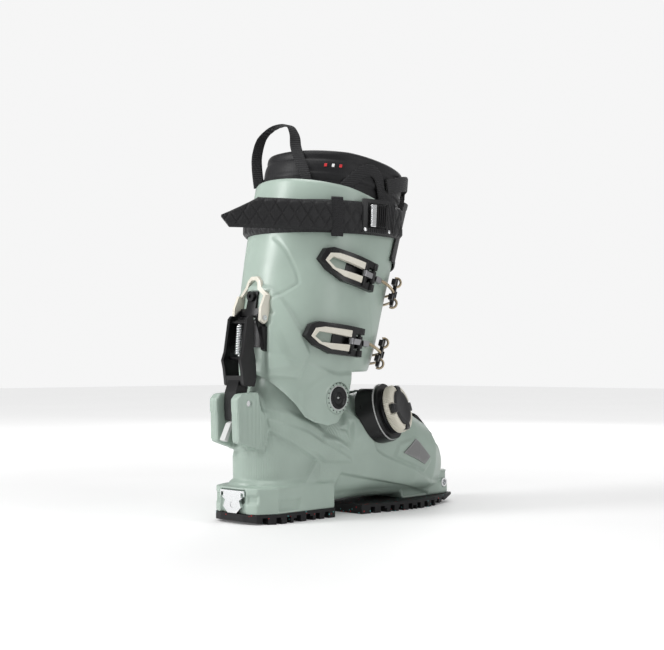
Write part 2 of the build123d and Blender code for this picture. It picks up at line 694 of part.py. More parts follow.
# ---------------------------------------------------------------- liner
liner_out = -WALL - LINER_GAP
liner_in = liner_out - LINER_PAD
COLLAR_SIDE = [(-150, 120), (60, 120), (110, 320), (84, 332), (0, 342), (-95, 350), (-150, 352)]
tongue_room = leg_prism([(20, 0), (110, 0), (110, 300), (20, 300)], -25, 25)
with BuildPart() as liner_cuff:
    add(cuff_body(liner_out))
    add(cuff_body(liner_in), mode=Mode.SUBTRACT)
    add(side_prism(COLLAR_SIDE, -FAR, FAR), mode=Mode.INTERSECT)
    add(pivot_disc(CUFF_RADIUS, -FAR, FAR), mode=Mode.SUBTRACT)
    add(tongue_room, mode=Mode.SUBTRACT)
save(liner_cuff, "liner_cuff")

tongue_side = [(20, 74), (110, 60), (110, 246), (20, 246)]
with BuildPart() as liner_tongue:
    add(cuff_body(liner_out - 0.4))
    add(cuff_body(liner_in - 2), mode=Mode.SUBTRACT)
    add(leg_prism(tongue_side, -24.5, 24.5), mode=Mode.INTERSECT)
save(liner_tongue, "liner_tongue")


def pull_loop(plane, outline, half_width):
    """A webbing loop: a flat strip bent along an outline of its outer and inner edges."""
    return prism(plane, outline, -half_width, half_width)


REAR_LOOP = [(-35, 318), (-39, 345), (-33, 366), (-16, 376), (4, 376), (20, 366), (27, 346), (26, 318),
             (23.5, 318), (24.5, 345), (18, 364), (3, 373.5), (-15, 373.5), (-31, 364), (-36.5, 345), (-32.5, 318)]
rear_loop_plane = Plane(origin=(0, -78, 0), x_dir=(1, 0, 0), z_dir=(0, -1, 0))
with BuildPart() as rear_pull_loop:
    add(pull_loop(rear_loop_plane, REAR_LOOP, 6))
    add(cuff_body(liner_out + 0.3), mode=Mode.SUBTRACT)
save(rear_pull_loop, "rear_pull_loop")

FRONT_LOOP = [(58, 316), (70, 338), (84, 344), (94, 334), (92, 312), (89, 302), (86.5, 303),
              (89.5, 313), (91.5, 333), (83.5, 341.5), (71.5, 336), (60, 315)]
with BuildPart() as front_pull_loop:
    add(pull_loop(Plane.YZ, FRONT_LOOP, 6))
    add(cuff_body(liner_out + 0.3), mode=Mode.SUBTRACT)
save(front_pull_loop, "front_pull_loop")

foot_out = -WALL - 2.4
with BuildPart() as liner_foot:
    add(both_bodies_within(foot_out, block((-FAR, -FAR - 20, 20.4), (FAR, 112, 190))))
    add(ankle_body(foot_out - 7), mode=Mode.SUBTRACT)
    add(foot_body(foot_out - 7), mode=Mode.SUBTRACT)
    add(pivot_disc(SHELL_RADIUS - 2, -FAR, FAR), mode=Mode.INTERSECT)
save(liner_foot, "liner_foot")

with BuildPart() as footbed:
    add(both_bodies_within(foot_out - 7.4, block((-60, -FAR, 27.8), (60, 100, 31.8))))
save(footbed, "footbed")
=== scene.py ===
"""Looks of an alpine touring ski boot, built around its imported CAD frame.

Shapes are worked out in millimetres in the CAD's own frame and made in metres.
Leg-frame points are (x, forward, up the leg) from the ankle pivot; side outlines
are (Y, Z) of the row frame.
"""
import json
import math

import bmesh
import bpy
import numpy as np
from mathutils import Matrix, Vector


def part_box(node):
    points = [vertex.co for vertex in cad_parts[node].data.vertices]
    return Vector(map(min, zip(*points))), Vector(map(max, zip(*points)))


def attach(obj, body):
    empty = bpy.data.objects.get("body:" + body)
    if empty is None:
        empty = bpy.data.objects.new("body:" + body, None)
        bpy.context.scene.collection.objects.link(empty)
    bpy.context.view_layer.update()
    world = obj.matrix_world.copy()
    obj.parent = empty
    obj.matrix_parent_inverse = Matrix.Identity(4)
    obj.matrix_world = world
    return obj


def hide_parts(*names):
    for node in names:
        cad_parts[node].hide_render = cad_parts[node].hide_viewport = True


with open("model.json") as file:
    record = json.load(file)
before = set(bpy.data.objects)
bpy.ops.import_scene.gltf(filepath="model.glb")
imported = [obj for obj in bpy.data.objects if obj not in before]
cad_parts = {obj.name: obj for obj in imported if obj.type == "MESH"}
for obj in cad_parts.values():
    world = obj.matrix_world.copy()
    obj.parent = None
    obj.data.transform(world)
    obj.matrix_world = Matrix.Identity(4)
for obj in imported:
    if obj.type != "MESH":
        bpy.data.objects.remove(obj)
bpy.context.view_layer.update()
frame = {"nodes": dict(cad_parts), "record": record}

MM = 0.001

# ------------------------------------------------------------------ frame facts
JOINTS = {joint["name"]: joint for joint in frame["record"]["behaviour"]["joints"]}
PIVOT = np.array(JOINTS["cuff_flex"]["pos_m"]) / MM
DIAL_CENTRE = np.array(JOINTS["dial_turn"]["pos_m"]) / MM
DIAL_NORMAL = np.array(JOINTS["dial_turn"]["axis"])
LEAN = math.radians(15)
WALL = 3.6

# height up the leg, centre, half width, half length, squareness
CUFF_SECTIONS = [
    (-45, -4, 45, 59, 2.0), (0, -5, 46.5, 65, 2.05), (30, -7, 51, 70, 2.1),
    (60, -9, 55.5, 74, 2.15), (100, -11, 58.5, 76, 2.15), (150, -12, 62, 77.5, 2.15),
    (205, -12, 66, 79, 2.1), (262, -12, 68.5, 80.5, 2.05),
]


# ------------------------------------------------------------------ numbers
def smooth(x, low, high):
    """Smoothstep from 0 at low to 1 at high."""
    t = np.clip((np.asarray(x, float) - low) / (high - low), 0, 1)
    return t * t * (3 - 2 * t)


def track(x, table):
    """Every column of a table at x, along smooth curves through its rows."""
    rows = np.array(table, float)
    xs, ys = rows[:, 0], rows[:, 1:]
    slopes = np.gradient(ys, xs, axis=0)
    x = np.clip(np.asarray(x, float), xs[0], xs[-1])
    i = np.clip(np.searchsorted(xs, x) - 1, 0, len(xs) - 2)
    step = (xs[i + 1] - xs[i])[..., None]
    t = ((x - xs[i]) / (xs[i + 1] - xs[i]))[..., None]
    h00, h10 = 2 * t**3 - 3 * t**2 + 1, t**3 - 2 * t**2 + t
    h01, h11 = -2 * t**3 + 3 * t**2, t**3 - t**2
    value = h00 * ys[i] + h10 * step * slopes[i] + h01 * ys[i + 1] + h11 * step * slopes[i + 1]
    return np.moveaxis(value, -1, 0)


def oval(angle, half_width, half_length, squareness):
    """Superellipse points by angle from +X towards the front."""
    c, s = np.cos(angle), np.sin(angle)
    x = half_width * np.sign(c) * np.abs(c) ** (2 / squareness)
    y = half_length * np.sign(s) * np.abs(s) ** (2 / squareness)
    return x, y


def leg_to_row(x, forward, height):
    """Leg-frame millimetres to row-frame millimetres."""
    y = PIVOT[1] + forward * math.cos(LEAN) + height * math.sin(LEAN)
    z = PIVOT[2] - forward * math.sin(LEAN) + height * math.cos(LEAN)
    return np.stack(np.broadcast_arrays(x, y, z), -1)


def cuff_point(angle, height, grow=0.0):
    """A row-frame point on the cuff's surface, by angle round the leg and height up it."""
    centre, half_width, half_length, squareness = track(height, CUFF_SECTIONS)
    x, forward = oval(angle, half_width + grow, half_length + grow, squareness)
    return leg_to_row(x, forward + centre, height)


def cuff_height_at(angle, outline_height, grow=0.0):
    """The height up the leg where the cuff's surface meets a level given by a function of Y."""
    height = np.full(np.shape(angle), 100.0)
    for _ in range(40):
        point = cuff_point(angle, height, grow)
        height = height + 0.6 * (outline_height(point[..., 1]) - point[..., 2])
    return height


def distance_to_outline(points, outline):
    """Signed distance of 2-D points to a closed outline, positive inside."""
    points = np.asarray(points, float)
    best = np.full(len(points), 1e9)
    inside = np.zeros(len(points), bool)
    corners = np.array(outline, float)
    for a, b in zip(corners, np.roll(corners, -1, 0)):
        edge = b - a
        t = np.clip(((points - a) @ edge) / (edge @ edge), 0, 1)
        best = np.minimum(best, np.linalg.norm(points - a - t[:, None] * edge, axis=1))
        crosses = (a[1] > points[:, 1]) != (b[1] > points[:, 1])
        with np.errstate(divide="ignore", invalid="ignore"):
            at = a[0] + (points[:, 1] - a[1]) * (b[0] - a[0]) / (b[1] - a[1])
        inside ^= crosses & (points[:, 0] < at)
    return np.where(inside, best, -best)


# ------------------------------------------------------------------ meshes
def new_object(name, points, faces, smooth_shade=True):
    """An object in metres from row-frame millimetres."""
    mesh = bpy.data.meshes.new(name)
    mesh.from_pydata((np.asarray(points) * MM).tolist(), [], [list(map(int, f)) for f in faces])
    mesh.validate()
    mesh.polygons.foreach_set("use_smooth", [smooth_shade] * len(mesh.polygons))
    obj = bpy.data.objects.new(name, mesh)
    bpy.context.scene.collection.objects.link(obj)
    return obj


def grid_faces(rows, columns, wrap):
    """Quads of a grid stored row by row."""
    last = columns if wrap else columns - 1
    return [
        (r * columns + c, r * columns + (c + 1) % columns,
         (r + 1) * columns + (c + 1) % columns, (r + 1) * columns + c)
        for r in range(rows - 1) for c in range(last)
    ]


def grid_object(name, points, wrap=True, caps=False):
    """A smooth surface through a [row, column, xyz] grid."""
    rows, columns = points.shape[:2]
    faces = grid_faces(rows, columns, wrap)
    if caps:
        faces.append(tuple(range(columns))[::-1])
        faces.append(tuple((rows - 1) * columns + c for c in range(columns)))
    return new_object(name, points.reshape(-1, 3), faces)


def apply_modifiers(obj):
    """Bakes an object's modifiers into its mesh."""
    graph = bpy.context.evaluated_depsgraph_get()
    mesh = bpy.data.meshes.new_from_object(obj.evaluated_get(graph))
    old = obj.data
    obj.modifiers.clear()
    obj.data = mesh
    bpy.data.meshes.remove(old)
    return obj


def coordinates(obj):
    co = np.empty(len(obj.data.vertices) * 3)
    obj.data.vertices.foreach_get("co", co)
    return co.reshape(-1, 3) / MM


def normals(obj):
    no = np.empty(len(obj.data.vertices) * 3)
    obj.data.vertices.foreach_get("normal", no)
    return no.reshape(-1, 3)


def set_coordinates(obj, points):
    obj.data.vertices.foreach_set("co", (points * MM).ravel())
    obj.data.update()


def shade_smooth(obj):
    obj.data.polygons.foreach_set("use_smooth", [True] * len(obj.data.polygons))


def solidify(obj, thickness, offset=-1.0):
    modifier = obj.modifiers.new("wall", "SOLIDIFY")
    modifier.thickness = thickness * MM
    modifier.offset = offset
    modifier.use_even_offset = False
    return apply_modifiers(obj)


def bevel(obj, width, segments=2, angle=35, bake=True):
    modifier = obj.modifiers.new("bevel", "BEVEL")
    modifier.width = width * MM
    modifier.segments = segments
    modifier.limit_method = "ANGLE"
    modifier.angle_limit = math.radians(angle)
    modifier.harden_normals = False
    return apply_modifiers(obj) if bake else obj


def join_meshes(name, objects):
    """One object holding the meshes of several."""
    body = bmesh.new()
    for obj in objects:
        body.from_mesh(obj.data)
        bpy.data.objects.remove(obj)
    mesh = bpy.data.meshes.new(name)
    body.to_mesh(mesh)
    body.free()
    obj = bpy.data.objects.new(name, mesh)
    bpy.context.scene.collection.objects.link(obj)
    return obj


def recalculate(obj, close=False):
    """Faces outwards, with open rims filled first if asked."""
    body = bmesh.new()
    body.from_mesh(obj.data)
    if close:
        bmesh.ops.holes_fill(body, edges=[e for e in body.edges if e.is_boundary], sides=0)
    bmesh.ops.recalc_face_normals(body, faces=body.faces)
    body.to_mesh(obj.data)
    body.free()


def tube_object(name, points, radius, sides=12):
    """A round wire through row-frame points."""
    points = np.asarray(points, float)
    tangents = np.gradient(points, axis=0)
    tangents /= np.linalg.norm(tangents, axis=1)[:, None]
    side = np.cross(tangents[0], (0.1, 0.2, 1.0))
    angles = np.linspace(0, 2 * math.pi, sides, endpoint=False)
    rings = []
    for point, tangent in zip(points, tangents):
        side = side - tangent * (side @ tangent)
        side /= np.linalg.norm(side)
        up = np.cross(tangent, side)
        rings.append(point + radius * (np.cos(angles)[:, None] * side + np.sin(angles)[:, None] * up))
    obj = grid_object(name, np.array(rings), wrap=True, caps=True)
    recalculate(obj)
    return obj


# ------------------------------------------------------------------ materials
def material(name, colour, roughness=0.5, metallic=0.0, **sockets):
    """A Principled material whose constants sit on its own sockets."""
    made = bpy.data.materials.new(name)
    made.use_nodes = True
    shader = made.node_tree.nodes["Principled BSDF"]
    shader.inputs["Base Color"].default_value = (*colour, 1)
    shader.inputs["Roughness"].default_value = roughness
    shader.inputs["Metallic"].default_value = metallic
    for key, value in sockets.items():
        shader.inputs[key.replace("_", " ")].default_value = value
    return made


class Nodes:
    """Short calls for wiring one material's nodes."""

    def __init__(self, made):
        self.tree = made.node_tree
        self.shader = self.tree.nodes["Principled BSDF"]
        self.place = self.tree.nodes.new("ShaderNodeTexCoord").outputs["Object"]

    def add(self, kind, links=None, **values):
        node = self.tree.nodes.new(kind)
        for key, value in values.items():
            if hasattr(node, key):
                setattr(node, key, value)
            else:
                node.inputs[key.replace("_", " ")].default_value = value
        for key, output in (links or {}).items():
            self.tree.links.new(output, node.inputs[key])
        return node

    def mapping(self, scale=(1, 1, 1), rotation=(0, 0, 0)):
        node = self.add("ShaderNodeMapping", {"Vector": self.place})
        node.inputs["Scale"].default_value = scale
        node.inputs["Rotation"].default_value = rotation
        return node.outputs["Vector"]

    def noise(self, scale, detail=3.0, place=None):
        node = self.add("ShaderNodeTexNoise", {"Vector": place or self.place}, Scale=scale, Detail=detail)
        return node.outputs["Fac"]

    def ramp(self, value, stops):
        node = self.add("ShaderNodeValToRGB", {"Fac": value})
        while len(node.color_ramp.elements) < len(stops):
            node.color_ramp.elements.new(0.5)
        for element, (position, colour) in zip(node.color_ramp.elements, stops):
            element.position = position
            element.color = (*colour, 1)
        return node.outputs["Color"]

    def math(self, operation, a, b=0.0, c=0.0):
        node = self.add("ShaderNodeMath", operation=operation)
        for index, value in enumerate((a, b, c)):
            if hasattr(value, "links"):
                self.tree.links.new(value, node.inputs[index])
            else:
                node.inputs[index].default_value = value
        return node.outputs[0]

    def mix(self, factor, a, b):
        node = self.add("ShaderNodeMix", data_type="RGBA")
        for index, value in ((0, factor), (6, a), (7, b)):
            if hasattr(value, "links"):
                self.tree.links.new(value, node.inputs[index])
            else:
                node.inputs[index].default_value = value if index == 0 else (*value, 1)
        return node.outputs[2]

    def bump(self, height, strength, distance, normal=None):
        links = {"Height": height}
        if normal:
            links["Normal"] = normal
        node = self.add("ShaderNodeBump", links, Strength=strength, Distance=distance)
        return node.outputs["Normal"]

    def to_shader(self, name, output):
        self.tree.links.new(output, self.shader.inputs[name])


def plastic_with_painted_edge_highlight(name, colour, roughness, grain=900.0, edge=0.12, coat=0.0, gloss=0.5):
    """Moulded plastic: faint mottling, fine grain, and a painted highlight that makes sharp convex edges
    paler.
    """
    made = material(name, colour, roughness, Coat_Weight=coat, Coat_Roughness=0.25, Specular_IOR_Level=gloss)
    n = Nodes(made)
    mottled = n.noise(28, 4)
    dark = tuple(c * 0.93 for c in colour)
    light = tuple(min(1, c * 1.06) for c in colour)
    body = n.ramp(mottled, [(0.3, dark), (0.7, light)])
    # Painted highlight: sharp convex edges (high pointiness) are mixed half way towards a paler colour; edge
    # sets how pale.
    pointy = n.tree.nodes.new("ShaderNodeNewGeometry").outputs["Pointiness"]
    edge_highlight_mask = n.ramp(pointy, [(0.52, (0, 0, 0)), (0.6, (1, 1, 1))])
    bright = tuple(min(1, c + edge * (1 - c)) for c in colour)
    n.to_shader("Base Color", n.mix(n.math("MULTIPLY", edge_highlight_mask, 0.5), body, bright))
    fine = n.noise(grain, 2)
    spread = n.math("MULTIPLY_ADD", n.noise(60, 3), 0.16, roughness - 0.08)
    n.to_shader("Roughness", spread)
    n.to_shader("Normal", n.bump(fine, 0.12, 0.0003))
    return made


GREEN = (0.335, 0.415, 0.362)


def green_plastic(name, ribs):
    """Sage polyurethane; ribs adds the fine upright ribbing of the heel."""
    made = plastic_with_painted_edge_highlight(name, GREEN, 0.36, grain=700, edge=0.18, coat=0.12)
    if not ribs:
        return made
    n = Nodes(made)
    split = n.add("ShaderNodeSeparateXYZ", {"Vector": n.place})
    y, z = split.outputs["Y"], split.outputs["Z"]
    angle = n.math("ARCTAN2", split.outputs["X"], n.math("ADD", y, 0.085))
    wave = n.math("SINE", n.math("MULTIPLY", angle, 190.0))
    low = n.math("SMOOTH_MIN", n.math("MULTIPLY", n.math("SUBTRACT", z, 0.036), 120.0), 1.0, 0.1)
    high = n.math("MULTIPLY", n.math("SUBTRACT", 0.125, z), 120.0)
    back = n.math("MULTIPLY", n.math("SUBTRACT", -0.035, y), 60.0)
    zone = n.math("MINIMUM", n.math("MINIMUM", low, high), back)
    zone = n.math("MAXIMUM", n.math("MINIMUM", zone, 1.0), 0.0)
    old = n.shader.inputs["Normal"].links[0].from_socket
    n.to_shader("Normal", n.bump(n.math("MULTIPLY", wave, zone), 0.35, 0.0004, old))
    return made


def rubber(name):
    """Black rubber with red and teal flecks moulded in."""
    made = material(name, (0.010, 0.010, 0.011), 0.6, Specular_IOR_Level=0.3)
    n = Nodes(made)
    cells = n.add("ShaderNodeTexVoronoi", {"Vector": n.place}, Scale=520.0)
    pick = n.add("ShaderNodeSeparateColor", {"Color": cells.outputs["Color"]})
    near = n.math("LESS_THAN", cells.outputs["Distance"], 0.36)
    red = n.math("MULTIPLY", near, n.math("GREATER_THAN", pick.outputs["Red"], 0.95))
    teal = n.math("MULTIPLY", near, n.math("GREATER_THAN", pick.outputs["Green"], 0.95))
    base = n.mix(n.noise(90, 3), (0.007, 0.007, 0.008), (0.014, 0.014, 0.015))
    n.to_shader("Base Color", n.mix(teal, n.mix(red, base, (0.42, 0.015, 0.02)), (0.10, 0.34, 0.34)))
    n.to_shader("Normal", n.bump(n.noise(1400, 2), 0.25, 0.0003))
    return made


def metal(name, colour, roughness, scratch=0.25):
    made = material(name, colour, roughness, 1.0)
    n = Nodes(made)
    brushed = n.noise(180, 3, n.mapping((1, 1, 14)))
    n.to_shader("Roughness", n.math("MULTIPLY_ADD", brushed, scratch, roughness - scratch / 2))
    n.to_shader("Normal", n.bump(brushed, 0.06, 0.0002))
    return made


def cloth(name, colour, roughness, scale=1400.0, strength=0.5, sheen=0.08):
    """Tight weave, with lint and a soft sheen."""
    made = material(name, colour, roughness, Sheen_Weight=sheen, Sheen_Roughness=0.5, Specular_IOR_Level=0.25)
    n = Nodes(made)
    across = n.add("ShaderNodeTexWave", {"Vector": n.place}, Scale=scale / 6, bands_direction="Z")
    along = n.add("ShaderNodeTexWave", {"Vector": n.mapping((1, 1, 0))}, Scale=scale / 6,
                  bands_direction="DIAGONAL")
    weave = n.math("MULTIPLY", across.outputs["Fac"], along.outputs["Fac"])
    tone = n.mix(n.noise(120, 4), tuple(c * 0.75 for c in colour), tuple(c * 1.35 for c in colour))
    n.to_shader("Base Color", tone)
    n.to_shader("Normal", n.bump(weave, strength, 0.0003))
    return made


def ribbed_webbing(name, colour, pitch=900.0, direction="Z"):
    made = material(name, colour, 0.7, Sheen_Weight=0.08, Specular_IOR_Level=0.25)
    n = Nodes(made)
    ribs = n.add("ShaderNodeTexWave", {"Vector": n.place}, Scale=pitch / 6, bands_direction=direction)
    lint = n.noise(700, 3)
    n.to_shader("Base Color", n.mix(lint, tuple(c * 0.7 for c in colour), tuple(c * 1.5 for c in colour)))
    n.to_shader("Normal", n.bump(ribs.outputs["Fac"], 0.7, 0.0005))
    return made


MATERIALS = {
    "shell": green_plastic("shell_green", ribs=True),
    "cuff": green_plastic("cuff_green", ribs=False),
    "black": plastic_with_painted_edge_highlight("black_plastic", (0.004, 0.004, 0.0045), 0.30, edge=0.02, gloss=0.30),
    "dark": plastic_with_painted_edge_highlight("dark_grey", (0.012, 0.012, 0.013), 0.32, edge=0.04, gloss=0.35),
    "bone": plastic_with_painted_edge_highlight("bone_plastic", (0.62, 0.59, 0.50), 0.36, edge=0.2),
    "rubber": rubber("sole_rubber"),
    "steel": metal("steel", (0.78, 0.79, 0.80), 0.22),
    "bronze": metal("bronze_wire", (0.44, 0.36, 0.25), 0.3),
    "barrel": metal("barrel_grey", (0.30, 0.30, 0.31), 0.4),
    "quilt": cloth("quilted_fabric", (0.012, 0.012, 0.013), 0.5, 1500),
    "panel": cloth("panel_fabric", (0.026, 0.026, 0.027), 0.7, 1200, 0.3),
    "liner": cloth("liner_fabric", (0.007, 0.007, 0.008), 0.45, 1300, 0.25),
    "webbing": ribbed_webbing("webbing", (0.014, 0.014, 0.015)),
    "badge": plastic_with_painted_edge_highlight("badge_grey", (0.19, 0.19, 0.19), 0.4),
    "inner": plastic_with_painted_edge_highlight("inner_grey", (0.10, 0.10, 0.10), 0.6),
    "pale": plastic_with_painted_edge_highlight("pale_tab", (0.52, 0.53, 0.52), 0.4),
}

NODE_MATERIALS = {
    "shell": ("lower_shell", "instep_flap"),
    "cuff": ("cuff_shell", "cuff_flap", "pivot_rings"),
    "black": ("throat_gasket", "dial_base", "dial_housing", "lace_guide_toe", "lace_guide_throat",
              "buckle_base_upper", "buckle_base_lower", "lever_upper", "lever_lower", "walk_bolt",
              "walk_bracket", "walk_link"),
    "dark": ("pivot_screws", "ladder_upper", "ladder_lower", "strap_buckle", "dial_cap"),
    "bone": ("lever_grip_upper", "lever_grip_lower", "walk_lever", "dial_knob"),
    "rubber": ("heel_sole", "toe_sole"),
    "steel": ("heel_insert", "heel_insert_screw", "toe_insert", "clevis_pin", "walk_pins",
              "link_spring", "dial_shaft", "strap_cam"),
    "bronze": ("bail_wire_upper", "bail_wire_lower"),
    "barrel": ("bail_barrel_upper", "bail_barrel_lower"),
    "quilt": ("power_strap", "strap_tail"),
    "panel": ("strap_front_panel",),
    "liner": ("liner_foot", "liner_cuff", "liner_tongue"),
    "webbing": ("strap_keeper", "rear_pull_loop", "front_pull_loop"),
    "badge": ("side_badge",),
    "inner": ("boot_board", "footbed", "pivot_bushings", "dial_spool"),
    "pale": ("dial_ring", "link_tab"),
}


def dress(obj, key):
    obj.data.materials.clear()
    obj.data.materials.append(MATERIALS[key])
    return obj


for key, names in NODE_MATERIALS.items():
    for node in names:
        if node in frame["nodes"]:
            dress(frame["nodes"][node], key)


def finish_piece(obj, key, body, slot, *nodes):
    """Material, body and the CAD nodes that a piece stands for; slot is not used."""
    dress(obj, key)
    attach(obj, body)
    if nodes:
        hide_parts(*nodes)
    return obj


# ------------------------------------------------------------------ camera, light, floor
AIM = Vector((-0.00635, -0.00540, 0.18379))
CAMERA_DISTANCE = 1.1983
AZIMUTH, ELEVATION = 43.97, -1.95


def camera():
    """The photograph's long view from behind the boot's outer side."""
    data = bpy.data.cameras.new("camera")
    data.lens = 64.97
    data.sensor_width = 36
    data.clip_start, data.clip_end = 0.05, 50
    obj = bpy.data.objects.new("camera", data)
    azimuth, elevation = math.radians(AZIMUTH), math.radians(ELEVATION)
    back = Vector((math.sin(azimuth) * math.cos(elevation),
                   -math.cos(azimuth) * math.cos(elevation), math.sin(elevation)))
    obj.location = AIM + back * CAMERA_DISTANCE
    obj.rotation_mode = "QUATERNION"
    obj.rotation_quaternion = (-back).to_track_quat("-Z", "Y")
    bpy.context.scene.collection.objects.link(obj)
    bpy.context.scene.camera = obj


def area_light(name, place, size, power, colour=(1, 1, 1)):
    data = bpy.data.lights.new(name, "AREA")
    data.shape = "RECTANGLE"
    data.size, data.size_y = size
    data.energy = power
    data.color = colour
    obj = bpy.data.objects.new(name, data)
    obj.location = place
    obj.rotation_mode = "QUATERNION"
    obj.rotation_quaternion = (AIM - Vector(place)).to_track_quat("-Z", "Y")
    bpy.context.scene.collection.objects.link(obj)


LIGHTS = {
    "overhead": ((0.2, -0.4, 1.5), (0.9, 0.9), 9),
    "left_strip": ((-0.55, -1.35, 0.75), (0.4, 1.2), 17),
    "right_strip": ((1.5, 0.35, 0.75), (0.35, 1.2), 5),
    "back": ((-0.8, 1.3, 1.0), (1.0, 1.0), 7),
}
WORLD_LIGHT, WORLD_SEEN = 0.36, 0.92
FLOOR_SPAN = 6000.0
FLOOR_GLOW = {"From Min": 0.25, "From Max": 1.3, "To Min": 0.10, "To Max": 0.52}


def white_world():
    """A world that lights softly and looks nearly white."""
    world = bpy.data.worlds.new("studio")
    world.use_nodes = True
    tree = world.node_tree
    lit, seen = tree.nodes["Background"], tree.nodes.new("ShaderNodeBackground")
    for background, strength in ((lit, WORLD_LIGHT), (seen, WORLD_SEEN)):
        background.inputs["Color"].default_value = (1, 1, 1, 1)
        background.inputs["Strength"].default_value = strength
    choose = tree.nodes.new("ShaderNodeMixShader")
    ray = tree.nodes.new("ShaderNodeLightPath")
    tree.links.new(ray.outputs["Is Camera Ray"], choose.inputs["Fac"])
    tree.links.new(lit.outputs["Background"], choose.inputs[1])
    tree.links.new(seen.outputs["Background"], choose.inputs[2])
    tree.links.new(choose.outputs["Shader"], tree.nodes["World Output"].inputs["Surface"])
    bpy.context.scene.world = world


def floor():
    """A pale floor that glows faintly far from the boot, so it meets the backdrop."""
    far = FLOOR_SPAN
    made = new_object("floor", [(-far, -far, 0), (far, -far, 0), (far, far, 0), (-far, far, 0)],
                      [(0, 1, 2, 3)])
    pale = material("floor_white", (0.82, 0.82, 0.82), 0.6, Emission_Color=(1, 1, 1, 1))
    n = Nodes(pale)
    n.to_shader("Base Color", n.ramp(n.noise(3, 2), [(0.3, (0.80, 0.80, 0.80)), (0.7, (0.84, 0.84, 0.84))]))
    place = n.add("ShaderNodeNewGeometry")
    away = n.add("ShaderNodeVectorMath", {0: place.outputs["Position"]}, operation="LENGTH")
    glow = n.add("ShaderNodeMapRange", {"Value": away.outputs["Value"]}, interpolation_type="SMOOTHSTEP")
    for key, value in FLOOR_GLOW.items():
        glow.inputs[key].default_value = value
    n.to_shader("Emission Strength", glow.outputs["Result"])
    made.data.materials.append(pale)


def studio():
    """A pale floor under soft light from above, with a bright world."""
    bpy.context.scene.view_settings.view_transform = "Standard"
    white_world()
    floor()
    for name, (place, size, power) in LIGHTS.items():
        area_light(name, place, size, power)


camera()
studio()


# ------------------------------------------------------------------ moulded shells
def remeshed_copy(name, nodes, voxel, smoothing, factor=0.5):
    """An even, softened mesh of CAD nodes' outer shape, as a mould would round it."""
    copies = []
    for node in nodes:
        obj = bpy.data.objects.new(name + "_raw", frame["nodes"][node].data.copy())
        bpy.context.scene.collection.objects.link(obj)
        copies.append(obj)
    obj = join_meshes(name, copies)
    weld = obj.modifiers.new("weld", "WELD")
    weld.merge_threshold = 0.00001
    remesh = obj.modifiers.new("remesh", "REMESH")
    remesh.mode = "VOXEL"
    remesh.voxel_size = voxel * MM
    soften = obj.modifiers.new("soften", "SMOOTH")
    soften.factor = factor
    soften.iterations = smoothing
    apply_modifiers(obj)
    shade_smooth(obj)
    return obj


def ramp_inside(points, outline, width):
    """0 outside an outline and 1 from a width inside it, straight between, so its edge is a facet."""
    return np.clip(distance_to_outline(points, outline) / width, 0, 1)


def press(points, features):
    """Depth at 2-D points of raised (positive) and sunk (negative) outlines."""
    depth = np.zeros(len(points))
    for outline, height, width in features:
        low, high = np.min(outline, 0) - 1, np.max(outline, 0) + 1
        near = np.all((points > low) & (points < high), axis=1)
        depth[near] += height * ramp_inside(points[near], outline, width)
    return depth


# Side outlines of the lower shell in (Y, Z): outline, height, width of its sloping edge.
HEEL_HOLLOW = [(-200, 38), (-84, 35), (-68, 55), (-92, 68), (-111, 80), (-132, 93), (-141, 99), (-200, 99)]
CUFF_SEAT = [(-137, 115), (-120, 104), (-84, 91), (-64, 80), (-28, 61), (-23, 91), (-31, 104),
             (-31, 200), (-160, 200)]
TOP_STEP = [(-31, 108), (-15, 88), (-4, 74), (5, 60), (16, 54), (59, 39), (93, 23), (150, 18),
            (150, 150), (-31, 150)]
BADGE_FRAME = [(57, 73), (87, 47), (77, 34), (29, 52), (33, 67)]
MIDFOOT_HOLLOW = [(-46, 24), (-38, 42), (56, 23), (100, 13), (100, -5), (-46, -5)]
HEEL_POCKET = [(-119, 22), (-91, 22), (-94, 11), (-119, 11)]
HEEL_SLOT = [(-152, 27), (-136, 27), (-136, 18), (-152, 18)]
BAND = [(-137, 107), (-120, 96), (-84, 83), (-64, 73), (-28, 56), (-24, 50), (-60, 52), (-68, 58), (-92, 70),
        (-111, 82), (-132, 95), (-137, 99)]
FACETS = [
    [(-68, 79), (-43, 75), (-27, 62), (-62, 70)],
    [(-41, 86), (-30, 100), (-23, 91), (-33, 82)],
    [(-44, 83), (-34, 84), (-25, 61)],
]
SHELL_FEATURES = [
    (HEEL_HOLLOW, -3.2, 2.2), (CUFF_SEAT, -3.0, 5.0),
    (BAND, 1.5, 2.2),
    *((facet, 2.2, 4.0) for facet in FACETS),
    (TOP_STEP, -1.9, 2.2), (BADGE_FRAME, 2.0, 3.0),
    (MIDFOOT_HOLLOW, -3.0, 2.6), (HEEL_POCKET, -1.8, 1.6),
    (HEEL_SLOT, -2.5, 1.6),
]


def lower_shell():
    """The lower shell with its diagonal band, facets, hollows and badge frame."""
    obj = remeshed_copy("lower_shell_skin", ["lower_shell"], 1.3, 6)
    points, out = coordinates(obj), normals(obj)
    side = smooth(np.abs(out[:, 0]), 0.25, 0.55)
    heel = (points[:, 1] < -95) & (out[:, 1] < -0.1)
    side = np.where(heel, np.maximum(side, smooth(-out[:, 1], 0.1, 0.35)), side)
    outward = np.sign(points[:, 0]) * out[:, 0] > -0.05
    clear_of_ears = ~((np.abs(points[:, 0]) < 23) & (points[:, 1] < -118) & (points[:, 2] > 66))
    depth = press(points[:, 1:], SHELL_FEATURES) * side * outward * clear_of_ears
    set_coordinates(obj, points + out * depth[:, None])
    return finish_piece(obj, "shell", "shell", "shell_green", "lower_shell")


